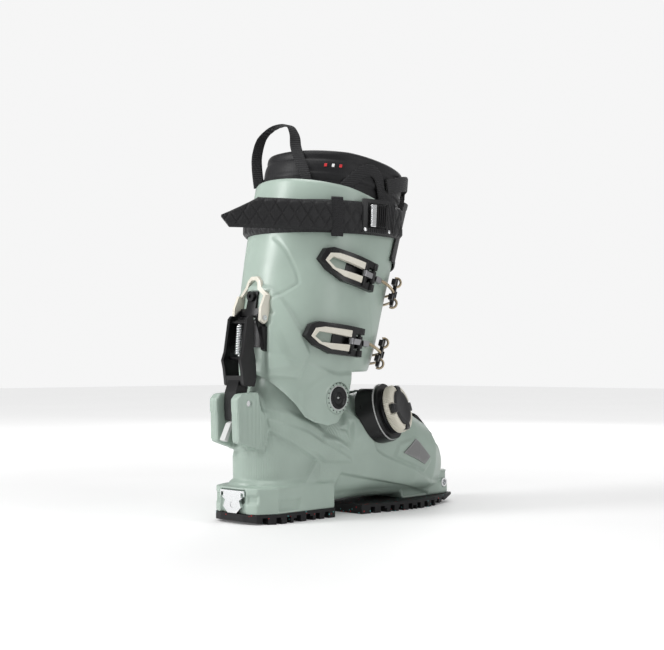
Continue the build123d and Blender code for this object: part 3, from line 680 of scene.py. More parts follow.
# Side outlines of the cuff in (Y, Z): its edge, then outline, height and slope width of each feature.
CUFF_EDGE = [
    (-170, 152), (-140, 145), (-121, 135), (-107, 118), (-98, 107), (-91, 96), (-82, 91), (-65, 87.5),
    (-52, 90), (-41, 102), (-37, 118), (-36, 137), (14, 137.5), (45, 143), (70, 152), (92, 250),
    (84, 268), (60, 276),
    (0, 296), (-50, 311), (-95, 320), (-170, 324),
]
SPINE = [(-190, 280), (-134, 280), (-128, 250), (-120, 219), (-115, 194), (-104, 157), (-95, 140),
         (-190, 120)]
LEVER_ARCH = [(-190, 221), (-136, 224), (-128, 229), (-119, 227), (-111, 214), (-97, 178), (-87, 154),
              (-95, 130), (-190, 140)]
ARCH_POCKET = [(-190, 214), (-131, 216), (-126, 221), (-120, 219), (-116, 207), (-112, 190), (-190, 190)]
LOWER_FLANK = [(-130, 150), (-122, 157), (-86, 146), (-56, 136), (-30, 139), (-30, 90), (-70, 80), (-100, 90)]
PIVOT_PLATE = [(-96, 120), (-72, 138), (-40, 138), (-30, 130), (-30, 80), (-70, 80), (-96, 96)]
SEAM_LINE = [(-104, 262), (-97, 226), (-97, 219), (-115, 204), (-115, 182)]
FRONT_SEAM = [(-32, 262), (-38, 240), (-20, 214), (-8, 160)]
CUFF_FEATURES = [
    (SPINE, 1.5, 5.0), (LEVER_ARCH, 2.6, 2.2),
    (ARCH_POCKET, -1.6, 1.4), (LOWER_FLANK, 1.2, 2.6),
    (PIVOT_PLATE, 0.9, 4.0),
]
PIVOT_HOLE = 15.2
SLIT = (2.0, 9.0)
SLIT_TOP = 220.0


def distance_to_line(points, line):
    """Distance of 2-D points to an open line."""
    best = np.full(len(points), 1e9)
    corners = np.array(line, float)
    for a, b in zip(corners[:-1], corners[1:]):
        edge = b - a
        t = np.clip(((points - a) @ edge) / (edge @ edge), 0, 1)
        best = np.minimum(best, np.linalg.norm(points - a - t[:, None] * edge, axis=1))
    return best


def cuff_room(points, height):
    """How far inside the cuff's sheet points lie: within its edge, clear of the front slit and the pivots."""
    side = distance_to_outline(points[:, 1:], CUFF_EDGE)
    middle, half = sum(SLIT) / 2, (SLIT[1] - SLIT[0]) / 2
    slit = np.maximum(np.abs(points[:, 0] - middle) - half, height - SLIT_TOP)
    slit = np.where(points[:, 1] > -20, slit, 99)
    pivot = np.hypot(points[:, 1] - PIVOT[1], points[:, 2] - PIVOT[2]) - PIVOT_HOLE
    return np.minimum(np.minimum(side, slit), pivot)


def cuff_sheet(spacing=1.35):
    """The cuff's outer surface as a sheet, trimmed exactly to its edge."""
    turns = int(round(math.tau * 66 / spacing))
    levels = np.arange(-48, 252, spacing)
    angles = np.arange(turns) * math.tau / turns
    grid_angle, grid_height = np.meshgrid(angles, levels)
    angle, height = grid_angle.ravel(), grid_height.ravel()
    points = cuff_point(angle, height)
    inside = cuff_room(points, height)
    faces = np.array(grid_faces(len(levels), turns, wrap=True))
    faces = faces[inside[faces].mean(1) > 0]
    edges = np.sort(np.concatenate([faces[:, [i, (i + 1) % 4]] for i in range(4)]), axis=1)
    unique, count = np.unique(edges, axis=0, return_counts=True)
    rim = np.unique(unique[count == 1])
    for _ in range(8):
        room = cuff_room(cuff_point(angle[rim], height[rim]), height[rim])
        step_angle, step_height = 0.002, 0.1
        beside = cuff_point(angle[rim] + step_angle, height[rim])
        slope_a = (cuff_room(beside, height[rim]) - room) / step_angle
        raised = height[rim] + step_height
        slope_h = (cuff_room(cuff_point(angle[rim], raised), raised) - room) / step_height
        scale = 66.0
        size = (slope_a / scale) ** 2 + slope_h**2
        move = np.clip(room, -spacing, spacing) / np.maximum(size, 0.2)
        angle[rim] -= 0.8 * move * slope_a / scale**2
        height[rim] -= 0.8 * move * slope_h
    points = cuff_point(angle, height)
    used = np.unique(faces)
    index = np.zeros(len(points), int)
    index[used] = np.arange(len(used))
    return new_object("cuff_skin", points[used], index[faces])


def cuff_shell():
    """The cuff with its spine, lever surround, creases and parting lines."""
    obj = cuff_sheet()
    points, out = coordinates(obj), normals(obj)
    if np.mean(np.sum(points[:, :1] * out[:, :1], 1)) < 0:
        obj.data.flip_normals()
        out = -out
    depth = press(points[:, 1:], CUFF_FEATURES)
    behind_link = (points[:, 1] < -95) & (points[:, 2] < 212)
    depth = np.where(behind_link, depth * smooth(np.abs(points[:, 0]), 16, 22), depth)
    side = points[:, 1:]
    near = 1 - smooth(distance_to_line(side, SEAM_LINE), 0.35, 1.5)
    far = 1 - smooth(distance_to_line(side, FRONT_SEAM), 0.3, 1.2)
    edge = np.clip(distance_to_outline(side, CUFF_EDGE), 0, 8)
    lip = -0.9 * (1 - smooth(edge, 0.0, 2.2))
    groove = -0.9 * near - 0.5 * far * (points[:, 0] > 0)
    set_coordinates(obj, points + out * (depth + groove + lip)[:, None])
    solidify(obj, WALL - 1.1)
    bevel(obj, 0.8, segments=2, angle=55)
    shade_smooth(obj)
    return finish_piece(obj, "cuff", "cuff", "cuff_green", "cuff_shell")


def softened_node(node, key, body, slot, voxel, smoothing):
    """A CAD shell part with moulded radii."""
    obj = remeshed_copy(node + "_skin", [node], voxel, smoothing)
    return finish_piece(obj, key, body, slot, node)


lower_shell()
cuff_shell()
softened_node("instep_flap", "shell", "shell", "shell_green", 1.2, 4)
softened_node("cuff_flap", "cuff", "cuff", "cuff_green", 1.3, 4)


# ------------------------------------------------------------------ soft goods
COLLAR_TOP = [(-150, 349), (-95, 349), (-40, 346), (0, 340), (50, 333), (84, 326), (110, 318)]
COLLAR_FOOT = 190.0
LINER_GROW = -WALL - 3.4


def collar_top(y):
    return np.interp(y, *zip(*COLLAR_TOP))


def inflate(obj, pressure, limit, frames=20):
    """Puffs a padded piece by cloth simulation, and caps how far any point moves."""
    start = coordinates(obj)
    cloth_modifier = obj.modifiers.new("puff", "CLOTH")
    settings = cloth_modifier.settings
    settings.use_pressure = True
    settings.uniform_pressure_force = pressure
    settings.quality = 5
    settings.mass = 0.3
    settings.tension_stiffness = settings.compression_stiffness = 40
    settings.bending_stiffness = 4
    settings.effector_weights.gravity = 0
    cloth_modifier.point_cache.frame_start, cloth_modifier.point_cache.frame_end = 1, frames
    scene = bpy.context.scene
    scene.frame_start, scene.frame_end = 1, frames
    for step in range(1, frames + 1):
        scene.frame_set(step)
    apply_modifiers(obj)
    scene.frame_set(1)
    moved = coordinates(obj) - start
    moved -= moved.mean(0)
    length = np.linalg.norm(moved, axis=1)
    keep = np.minimum(1, limit / np.maximum(length, 1e-9))
    set_coordinates(obj, start + moved * keep[:, None])


def liner_collar():
    """The liner's padded collar: an outer wall, a rolled rim and an inner wall, with a bead and channels."""
    angles = np.linspace(math.radians(97), math.radians(443), 261)
    top = cuff_height_at(angles, collar_top, LINER_GROW - 4)
    foot = cuff_height_at(angles, lambda y: np.full_like(y, COLLAR_FOOT), LINER_GROW)
    rows = []
    pad = 8.0
    ends = np.minimum(1, (angles - angles[0]) / 0.09) * np.minimum(1, (angles[-1] - angles) / 0.09)
    thick = pad * np.sqrt(np.clip(ends, 0.03, 1))
    for share in np.linspace(0, 1, 90):
        height = foot + (top - foot) * share
        from_top = top - height
        bead = 1.3 * np.exp(-((from_top - 26) / 2.0) ** 2) - 0.9 * np.exp(-((from_top - 30) / 1.2) ** 2)
        seam = -1.0 * np.exp(-((from_top - 9.5) / 1.0) ** 2)
        swell = 0.9 * np.sin(np.clip((from_top - 9.5) / 17, 0, 1) * math.pi)
        roll = -pad / 2 * (1 - np.sqrt(np.clip(1 - (1 - np.clip(from_top / 5.0, 0, 1)) ** 2, 0, 1)))
        rows.append(cuff_point(angles, height, LINER_GROW + bead + seam + swell + roll - (pad - thick) / 2))
    for share in np.linspace(1, 0, 60):
        height = foot + (top - foot) * share
        from_top = top - height
        roll = pad / 2 * (1 - np.sqrt(np.clip(1 - (1 - np.clip(from_top / 5.0, 0, 1)) ** 2, 0, 1)))
        channel = 0.7 * np.cos(from_top / 14 * math.tau) * smooth(from_top, 5, 12)
        rows.append(cuff_point(angles, height, LINER_GROW - thick + roll + channel - (pad - thick) / 2))
    points = np.array(rows)
    obj = grid_object("liner_collar", points, wrap=False)
    recalculate(obj, close=True)
    shade_smooth(obj)
    return finish_piece(obj, "liner", "cuff", "liner_fabric", "liner_cuff")


TONGUE_ANGLES = (62, 118)


def liner_tongue():
    """The tongue: a padded shell with a ribbed front, standing inside the collar's gap."""
    angles = np.linspace(*(math.radians(a) for a in TONGUE_ANGLES), 49)
    top = cuff_height_at(angles, lambda y: np.full_like(y, 331.0), LINER_GROW)
    foot = np.full_like(angles, 78.0)
    across = np.linspace(-1, 1, 49)
    edge = np.sqrt(np.clip(1 - np.abs(across) ** 6, 0.02, 1))
    rows = []
    for share in np.linspace(0, 1, 110):
        height = foot + (top - 6 * across**2 - foot) * share
        ribs = 0.8 * np.abs(np.sin(height / 7.5 * math.pi)) * (np.abs(across) < 0.62)
        lip = np.sqrt(np.clip(1 - max(0, (share - 0.97) / 0.03) ** 2, 0.05, 1))
        rows.append(cuff_point(angles, height, LINER_GROW - 1.0 - 4.6 + (4.4 * edge + ribs) * lip))
    for share in np.linspace(1, 0, 70):
        height = foot + (top - 6 * across**2 - foot) * share
        lip = np.sqrt(np.clip(1 - max(0, (share - 0.97) / 0.03) ** 2, 0.05, 1))
        rows.append(cuff_point(angles, height, LINER_GROW - 1.0 - 4.6 - 4.4 * edge * lip))
    obj = grid_object("liner_tongue_pad", np.array(rows), wrap=False)
    recalculate(obj, close=True)
    shade_smooth(obj)
    return finish_piece(obj, "panel", "cuff", "liner_fabric", "liner_tongue")


def liner_foot():
    """The liner's foot, inside the shell, softened and puffed by cloth simulation."""
    obj = remeshed_copy("liner_boot", ["liner_foot"], 4.0, 4)
    inflate(obj, 3.0, 1.0)
    bump = obj.modifiers.new("fine", "SUBSURF")
    bump.levels = bump.render_levels = 1
    apply_modifiers(obj)
    shade_smooth(obj)
    return finish_piece(obj, "liner", "shell", "liner_fabric", "liner_foot")


STRAP_MIDDLE = 282.0
STRAP_WIDTH = 31.0
DIAMOND = (12.0, 18.0)


def quilting(along, across, half_width):
    """Height of diamond quilting over a strip, 0 along its seams."""
    u, v = along / DIAMOND[0], across / DIAMOND[1]
    first, second = np.abs(((u + v) % 1) - 0.5) * 2, np.abs(((u - v) % 1) - 0.5) * 2
    seam = np.minimum(1 - first, 1 - second)
    puff = np.clip(seam / 0.45, 0, 1)
    edge = smooth(half_width - np.abs(across), 0.5, 4.0)
    return np.sqrt(puff) * edge


def strip_object(name, centre_line, outward, half_width, thickness, pattern, up=(0, 0, 1), ends=None,
                 columns=41):
    """A padded band: its outer face carries the pattern, its rims are rounded, its back is flat."""
    centre_line, outward = np.asarray(centre_line, float), np.asarray(outward, float)
    along = np.concatenate([[0], np.cumsum(np.linalg.norm(np.diff(centre_line, axis=0), axis=1))])
    across = np.linspace(-1, 1, columns)
    low = np.full(len(along), -half_width) if ends is None else ends[0]
    high = np.full(len(along), half_width) if ends is None else ends[1]
    rows = []
    for i, (point, out) in enumerate(zip(centre_line, outward)):
        v = low[i] + (high[i] - low[i]) * (across + 1) / 2
        rim = np.sqrt(np.clip(1 - np.abs(across) ** 10, 0, 1))
        face = thickness * (0.45 + 0.1 * rim) * rim + pattern(np.full(columns, along[i]), v)
        front = point + v[:, None] * np.array(up) + out * face[:, None]
        back = point + v[::-1, None] * np.array(up) - out * (thickness * 0.45 * rim[::-1])[:, None]
        rows.append(np.concatenate([front, back]))
    obj = grid_object(name, np.array(rows), wrap=True, caps=True)
    recalculate(obj)
    return obj


RING_SPAN = (-75, 30, 500)  # degrees from and to, and the points between them


def level_ring(grow, level, start, end, count):
    """Points and outward directions round the cuff at one level, by angle in degrees from +X to the front."""
    angles = np.radians(np.linspace(start, end, count))
    height = cuff_height_at(angles, lambda y: np.full_like(y, level), grow)
    points = cuff_point(angles, height, grow)
    further = cuff_point(angles, height, grow + 1)
    out = further - points
    out[:, 2] = 0
    out /= np.linalg.norm(out, axis=1)[:, None]
    points[:, 2] = level
    return points, out


def power_strap():
    """The strap round the back of the cuff, quilted in diamonds."""
    points, out = level_ring(3.2, STRAP_MIDDLE, -242, 52, 420)
    keep = (points[:, 1] < 20.2) | (points[:, 0] < -37.0)
    points, out = points[keep], out[keep]
    obj = strip_object("strap_band", points, out, STRAP_WIDTH / 2, 3.6,
                       lambda u, v: 1.7 * quilting(u, v, STRAP_WIDTH / 2))
    return finish_piece(obj, "quilt", "cuff", "strap_fabric", "power_strap")


def strap_tail():
    """The strap's loose end: it leaves the cuff at a tangent and stands clear, with a blunt point."""
    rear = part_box("strap_tail")[0].y / MM
    start = np.array([57.0, -72.8, STRAP_MIDDLE])
    tip = np.array([7.0, rear + 2.0, STRAP_MIDDLE])
    t = np.linspace(0, 1, 220)
    bow = np.stack([2.6 * np.sin(t * math.pi), -1.2 * np.sin(t * math.pi), np.zeros_like(t)], -1)
    line = start + (tip - start) * t[:, None] + bow
    tangent = np.gradient(line, axis=0)
    tangent /= np.linalg.norm(tangent, axis=1)[:, None]
    out = np.cross(tangent, (0, 0, 1.0))
    out *= np.sign(out[:, :1])
    from_tip = (1 - t) * np.linalg.norm(tip - start)
    half = STRAP_WIDTH / 2 - 1.5
    top = half - 17 * np.clip(1 - from_tip / 33, 0, 1) ** 0.9
    bottom = -half + 9 * np.clip(1 - from_tip / 7, 0, 1)
    obj = strip_object("strap_end", line, out, half, 3.2,
                       lambda u, v: 1.7 * quilting(u, v, half), ends=(bottom, top))
    return finish_piece(obj, "quilt", "cuff", "strap_fabric", "strap_tail")


def strap_keeper():
    """The elastic keeper round the strap behind the buckle."""
    low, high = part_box("strap_keeper")
    middle = (low.y + high.y) / 2 / MM
    points, out = level_ring(5.9, STRAP_MIDDLE - 0.5, -60, 0, 400)
    keep = np.abs(points[:, 1] - middle) < 5.4
    points, out = points[keep], out[keep]
    obj = strip_object("keeper_band", points, out, 18.5, 2.2,
                       lambda u, v: 0.25 * np.abs(np.sin(u * 2.0)))
    return finish_piece(obj, "webbing", "cuff", "webbing", "strap_keeper")


def front_panel():
    """The panel of the strap across the shin: flat fabric with a stitched hem and a soft fold."""
    low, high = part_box("strap_front_panel")
    columns, rows_count = 150, 70
    angles = np.radians(np.linspace(20, 125, columns))
    rows = []
    for share in np.linspace(0, 1, rows_count):
        def level(y):
            foot = np.interp(y, (20, 82), (low.z / MM + 22, low.z / MM + 3))
            return foot + (304 - foot) * share
        height = cuff_height_at(angles, level, 1.8)
        wave = 0.5 * np.sin(np.degrees(angles) / 9.0) * math.sin(share * math.pi)
        hem = 0.45 * (np.abs(share - 0.5) > 0.44) - 0.35 * (abs(abs(share - 0.5) - 0.425) < 0.012)
        rows.append(cuff_point(angles, height, 2.0 + wave + hem))
    points = np.array(rows)
    keep = points[rows_count // 2, :, 1] > 20.6
    points = points[:, keep]
    points = points[:, (points[0, :, 0] > low.x / MM) & (points[0, :, 0] < high.x / MM)]
    obj = grid_object("shin_panel", points, wrap=False)
    solidify(obj, 1.3, offset=0)
    shade_smooth(obj)
    return finish_piece(obj, "panel", "cuff", "panel_fabric", "strap_front_panel")


def ribbon(name, line, side, width, thickness=1.4):
    """A flat webbing ribbon through row-frame points; side is its width's direction at each point."""
    line = np.asarray(line, float)
    spread = np.linspace(0, len(line) - 1, 160)
    base = np.arange(len(line))
    smooth_line = track(spread, np.column_stack([base, line])).T
    side = np.asarray(side, float)
    sides = track(spread, np.column_stack([base, side])).T if side.ndim == 2 else np.tile(side, (160, 1))
    tangent = np.gradient(smooth_line, axis=0)
    tangent /= np.linalg.norm(tangent, axis=1)[:, None]
    sides = sides - tangent * np.sum(sides * tangent, 1)[:, None]
    sides /= np.linalg.norm(sides, axis=1)[:, None]
    out = np.cross(sides, tangent)
    across = np.linspace(-1, 1, 17)
    rim = np.sqrt(np.clip(1 - np.abs(across) ** 8, 0, 1))
    rows = []
    for i, point in enumerate(smooth_line):
        twill = 0.12 * np.sin(i * 0.9 + across * 9)
        middle = point + (across * width / 2)[:, None] * sides[i]
        front = middle + out[i] * (thickness / 2 * rim + twill)[:, None]
        back = (point - (across * width / 2)[:, None] * sides[i] - out[i] * (thickness / 2 * rim)[:, None])
        rows.append(np.concatenate([front, back]))
    obj = grid_object(name, np.array(rows), wrap=True, caps=True)
    recalculate(obj)
    return obj


def rear_loop():
    """The webbing loop at the back of the collar: its legs turn to lie flat on the collar."""
    line = [(-33.0, -80, 316), (-35.5, -80.5, 334), (-36, -80, 348), (-30.5, -79, 363), (-19, -78, 371),
            (-6, -77.5, 373.6), (7, -77.5, 371.5), (14, -77.8, 362), (16.5, -78.4, 350), (22.5, -79.0, 337),
            (28.0, -78.8, 326), (31.0, -77.5, 314)]
    side = [(0.9, 0.9, 0), (0.7, 1, 0), (0.45, 1, 0), (0.25, 1, 0.1), (0, 1, 0), (0, 1, 0), (0.05, 1, 0),
            (0.35, 1, 0), (1.0, 0.9, 0), (1, 0.55, 0.3), (1, 0.4, 0.4), (1, 0.4, 0.4)]
    obj = ribbon("collar_loop", line, side, 10.5)
    return finish_piece(obj, "webbing", "cuff", "webbing", "rear_pull_loop")


def front_loop():
    """The webbing loop at the top of the tongue."""
    line = [(0, 62, 322), (0, 70, 335), (0, 78, 341), (0, 86, 341), (0, 92, 333), (0, 92.5, 318),
            (0, 87, 304)]
    obj = ribbon("tongue_loop", line, (1, 0, 0), 11.0)
    return finish_piece(obj, "webbing", "cuff", "webbing", "front_pull_loop")


def tongue_straps():
    """Two ribbed straps that cross in front of the tongue and tie it to the collar."""
    made = []
    for name, start, end, rise in (("tie_outer", 8, 96, 1), ("tie_inner", 172, 84, -1)):
        line, side = [], []
        for share in np.linspace(0, 1, 9):
            angle = math.radians(start + (end - start) * share)
            level = 316 + 16 * math.sin(share * math.pi * 0.8) - 10 * share
            height = cuff_height_at(np.array([angle]), lambda y: np.full_like(y, level), LINER_GROW)[0]
            grow = LINER_GROW + 2.2 + 3.0 * share + (1.4 if rise > 0 else 0)
            line.append(cuff_point(np.array([angle]), np.array([height]), grow)[0])
            side.append((0.0, 0.1, 1.0))
        obj = ribbon(name, line, side, 15.0, 1.8)
        made.append(finish_piece(obj, "webbing", "cuff", "webbing"))
    return made


def collar_tie():
    """A ribbed strap that climbs the collar's outer side and turns down to the shin."""
    path = [(-31, 304), (-27.5, 311), (-21, 321), (-14.5, 328), (-8, 329.5), (-2, 325), (3, 315),
            (8, 300), (12, 285)]
    line, side = [], []
    for angle, level in path:
        angles = np.radians([float(angle)])
        height = cuff_height_at(angles, lambda y: np.full_like(y, level), LINER_GROW)
        line.append(cuff_point(angles, height, LINER_GROW + 1.7)[0])
        side.append(cuff_point(angles, height, LINER_GROW + 2.7)[0] - line[-1])
    line, outward = np.array(line), np.array(side)
    across = np.cross(outward, np.gradient(line, axis=0))
    obj = ribbon("collar_tie", line, across, 12.0, 1.5)
    return finish_piece(obj, "webbing", "cuff", "webbing")


def collar_marks():
    """Three small woven squares on the collar's outer side: red, white, red."""
    red = material("mark_red", (0.55, 0.01, 0.015), 0.6, Sheen_Weight=0.2)
    white = material("mark_white", (0.75, 0.75, 0.75), 0.6, Sheen_Weight=0.2)
    for made in (red, white):
        n = Nodes(made)
        n.to_shader("Normal", n.bump(n.noise(1500, 2), 0.3, 0.0002))
    for index, made in enumerate((red, white, red)):
        angle = np.radians(-47 + 6.2 * index)
        spread = np.linspace(-1, 1, 7)
        rows = []
        for v in spread:
            angles = angle + spread * 0.019
            height = cuff_height_at(angles, lambda y: collar_top(y) - 15.5 + 1.5 * v, LINER_GROW)
            rows.append(cuff_point(angles, height, LINER_GROW + 1.15))
        obj = grid_object(f"collar_mark_{index}", np.array(rows), wrap=False)
        solidify(obj, 0.5, offset=0)
        dress(obj, "liner")
        obj.data.materials.clear()
        obj.data.materials.append(made)
        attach(obj, "cuff")


liner_collar()
liner_tongue()
liner_foot()
power_strap()
strap_tail()
strap_keeper()
front_panel()
rear_loop()
front_loop()
tongue_straps()
collar_tie()
collar_marks()


# ------------------------------------------------------------------ hardware
def frame_of(axis, reference=(0, 0, 1.0)):
    """Two directions square to an axis."""
    axis = np.asarray(axis, float) / np.linalg.norm(axis)
    first = np.cross(reference, axis)
    first /= np.linalg.norm(first)
    return first, np.cross(axis, first), axis


def turned(name, centre, axis, profile, steps=96, shape=None):
    """A turned piece from (radius, along) points; shape(angle, radius, along) may reshape each ring."""
    first, second, third = frame_of(axis)
    angles = np.arange(steps) * math.tau / steps
    rings = []
    for radius, along in profile:
        r = np.full(steps, float(radius)) if shape is None else shape(angles, radius, along)
        rings.append(np.asarray(centre) + (r * np.cos(angles))[:, None] * first
                     + (r * np.sin(angles))[:, None] * second + along * third)
    obj = grid_object(name, np.array(rings), wrap=True, caps=True)
    recalculate(obj)
    return obj


KNOB_RADIUS = 23.5
KNOB_LOW, KNOB_HIGH = 14.8, 25.0
NOTCHES = 4


def notch(angles, width=0.30):
    """1 inside the knob's notches, 0 elsewhere."""
    turn = (angles * NOTCHES / math.tau + 0.5) % 1 - 0.5
    return 1 - smooth(np.abs(turn) * math.tau / NOTCHES, width * 0.72, width)


def dial_knob():
    """The dial's grip ring: fine teeth round its side, a sloping crown and four notches."""
    teeth = 84

    def shape(angles, radius, along):
        side = float(smooth(radius, KNOB_RADIUS - 1.2, KNOB_RADIUS - 0.2)) * (along < KNOB_HIGH - 1.5)
        ribs = 0.55 * side * (0.5 + 0.5 * np.cos(angles * teeth))
        return radius - ribs - 2.6 * notch(angles) * (along > 20)

    r = KNOB_RADIUS
    profile = [(r - 6, KNOB_LOW + 0.3), (r - 1.2, KNOB_LOW + 0.1), (r - 0.1, KNOB_LOW + 1.0),
               (r, KNOB_LOW + 1.6), (r, 19.9), (r, 20.4), (r - 0.1, 22.6), (r - 0.6, 23.4),
               (r - 0.9, 23.8), (r - 2.2, 24.9),
               (r - 3.6, 25.2), (r - 5.4, 24.9), (r - 6.4, 23.8), (r - 6.6, 21.8)]
    obj = turned("dial_grip", DIAL_CENTRE, DIAL_NORMAL, profile, steps=672, shape=shape)
    return finish_piece(obj, "bone", "dial_knob", "bone", "dial_knob")


def dial_cap():
    """The dial's dark cap, with lobes that fill the notches and a dished middle."""
    def shape(angles, radius, along):
        grow = float(smooth(radius, 12, 17))
        return radius + grow * 5.0 * notch(angles, 0.26)

    profile = [(16.9, 20.6), (17.2, 24.6), (16.8, 25.7), (15.6, 26.2), (13.0, 26.1), (9.0, 25.7),
               (4.0, 25.5), (0.6, 25.45)]
    obj = turned("dial_badge", DIAL_CENTRE, DIAL_NORMAL, profile, steps=480, shape=shape)
    return finish_piece(obj, "dark", "dial_knob", "dark_grey", "dial_cap")


def pivot_screws():
    """The ankle pivot screws: dished dark caps with a raised hub and a cross recess."""
    caps = []
    for side in (-1, 1):
        centre = (0, PIVOT[1], PIVOT[2])

        def shape(angles, radius, along):
            cross = np.maximum(np.abs(np.cos(angles)), np.abs(np.sin(angles))) ** 18
            return radius * (0.55 + 0.45 * cross) if radius < 2.4 else np.full(len(angles), float(radius))

        profile = [(4.0, 38.0), (4.0, 45.4), (10.3, 45.6), (10.4, 49.6), (9.9, 50.4), (9.0, 50.6),
                   (8.3, 50.2), (5.6, 49.0), (4.9, 49.3), (4.3, 49.6), (2.5, 49.6), (2.3, 49.4),
                   (2.2, 47.6), (0.4, 47.4)]
        caps.append(turned(f"pivot_cap_{side}", centre, (side, 0, 0), profile, steps=120, shape=shape))
    obj = join_meshes("pivot_caps", caps)
    shade_smooth(obj)
    return finish_piece(obj, "black", "cuff", "dark_grey", "pivot_screws")


def pivot_rings():
    """The cuff's bosses round the pivots, with a thin pale ring and a circle of setting marks."""
    bosses, pale, dots = [], [], []
    mark_count, mark_circle, mark_level = 18, 13.3, 48.75
    for side in (-1, 1):
        centre = (0, PIVOT[1], PIVOT[2])
        profile = [(14.9, 43.4), (15.1, 47.2), (14.6, 48.3), (13.4, 48.8), (11.9, 48.9), (11.2, 48.8),
                   (10.7, 48.2), (10.65, 45.8)]
        bosses.append(turned(f"boss_{side}", centre, (side, 0, 0), profile, steps=120))
        pale.append(turned(f"line_{side}", centre, (side, 0, 0),
                           [(10.7, 48.0), (10.75, 49.4), (11.2, 49.6), (11.7, 49.4), (11.8, 48.4)],
                           steps=120))
        first, second, third = frame_of((side, 0, 0))
        for index in range(mark_count):
            angle = index * math.tau / mark_count
            around = mark_circle * (math.cos(angle) * first + math.sin(angle) * second)
            place = np.array(centre) + around + mark_level * third
            dots.append(turned(f"dot_{side}_{index}", place, third,
                               [(0.65, -0.3), (0.65, 0.25), (0.4, 0.35)], steps=10))
    boss = join_meshes("pivot_bosses", bosses)
    shade_smooth(boss)
    finish_piece(boss, "cuff", "cuff", "cuff_green", "pivot_rings")
    marks = join_meshes("pivot_marks", pale)
    shade_smooth(marks)
    finish_piece(marks, "pale", "cuff", "pale_tab")
    ticks = join_meshes("pivot_ticks", dots)
    shade_smooth(ticks)
    finish_piece(ticks, "dark", "cuff", "dark_grey")


def link_spring():
    """The coil spring inside the walk link, its ends drawn in to its axis."""
    start = np.array([0, -136.0, 152.0])
    axis = np.array([0, 2.5, 30.0])
    length = 29.0
    axis /= np.linalg.norm(axis)
    first, second, _ = frame_of(axis, (1, 0, 0))
    turns, per_turn = 13, 20
    end_radius, coil_grow, wire_radius = 0.2, 2.7, 0.62
    t = np.linspace(0, 1, turns * per_turn)
    radius = coil_grow * smooth(t, 0, 0.03) * smooth(1 - t, 0, 0.03) + end_radius
    angle = t * turns * math.tau
    line = (start + np.outer(t * length, axis) + (radius * np.cos(angle))[:, None] * first
            + (radius * np.sin(angle))[:, None] * second)
    obj = tube_object("tension_spring", line, wire_radius, sides=8)
    return finish_piece(obj, "steel", "walk_link", "steel", "link_spring")


def arc_line(height, angles, grow, rise=0.0):
    """Row-frame points round the cuff at a height up the leg."""
    angles = np.radians(np.asarray(angles, float))
    return cuff_point(angles, height + rise * np.linspace(0, 1, len(angles)), grow)


BAIL_RADII = {"rod": 1.25, "thread": 1.5, "wire": 1.3, "hook": 1.2, "end": 1.6}


def bail(name, height, wire_body, node):
    """A bail: threaded rod, cross plate with teeth, two wires to the ladder and their hooks."""
    rod_line = arc_line(height, np.linspace(15, 42, 60), 7.6)
    tangent = np.gradient(rod_line, axis=0)
    tangent /= np.linalg.norm(tangent, axis=1)[:, None]
    rod = tube_object("rod", rod_line, BAIL_RADII["rod"], sides=14)
    threads = []
    for index in range(4, 58, 2):
        threads.append(tube_object("thread", rod_line[index:index + 2], BAIL_RADII["thread"], sides=12))
    wires = []
    for side in (-1, 1):
        wire_line = arc_line(height + side * 4.4, np.linspace(46, 88, 60), 8.6)
        wires.append(tube_object("wire", wire_line, BAIL_RADII["wire"], sides=12))
    hooks = []
    for side in (-1, 1):
        start = arc_line(height + side * 6, [44], 8.6)[0]
        outward = arc_line(height + side * 6, [44], 9.6)[0] - start
        up = leg_to_row(0, 0, 1.0) - leg_to_row(0, 0, 0.0)
        bend = np.linspace(0, math.pi * 1.15, 26)
        loop = [start + outward * (4.2 * math.sin(a)) + up * side * (4.6 * (1 - math.cos(a))) for a in bend]
        hooks.append(tube_object("hook", loop, BAIL_RADII["hook"], sides=12))
    low_end = arc_line(height, [89.5], 9.2)[0]
    up = leg_to_row(0, 0, 1.0) - leg_to_row(0, 0, 0.0)
    end_line = [low_end + up * v for v in np.linspace(-6.4, 6.4, 9)]
    end = tube_object("end", end_line, BAIL_RADII["end"], sides=14)
    obj = join_meshes(name + "_wires", [rod, *threads, *wires, *hooks, end])
    shade_smooth(obj)
    finish_piece(obj, "bronze", wire_body, "bronze_wire", node)
    blocks = []
    spans = [(41.5, 47.5, -13.5, 13.5, 6.4, 9.8), (36.0, 42.0, -9.8, -5.4, 5.8, 9.0),
             (36.0, 42.0, 5.4, 9.8, 5.8, 9.0), (33.0, 36.5, -10.6, -4.6, 6.2, 10.2),
             (33.0, 36.5, 4.6, 10.6, 6.2, 10.2),
             (47.5, 52.0, -3.2, 3.2, 6.2, 11.0)]
    for low_angle, high_angle, low, high, inner, outer in spans:
        blocks.append(skin_block("tooth", low_angle, high_angle, height + low, height + high, inner, outer))
    plate = join_meshes(name + "_plate", blocks)
    bevel(plate, 0.55, 2, 40)
    return finish_piece(plate, "black", wire_body, "black_plastic")


def block_along(name, rows):
    """A closed block between four long edges of equal point counts."""
    steps = len(rows[0])
    flat = np.array(rows).transpose(1, 0, 2).reshape(-1, 3)
    faces = [(i * 4 + k, i * 4 + (k + 1) % 4, (i + 1) * 4 + (k + 1) % 4, (i + 1) * 4 + k)
             for i in range(steps - 1) for k in range(4)]
    faces += [(0, 1, 2, 3), tuple((steps - 1) * 4 + k for k in (3, 2, 1, 0))]
    obj = new_object(name, flat, faces, smooth_shade=False)
    recalculate(obj)
    return obj


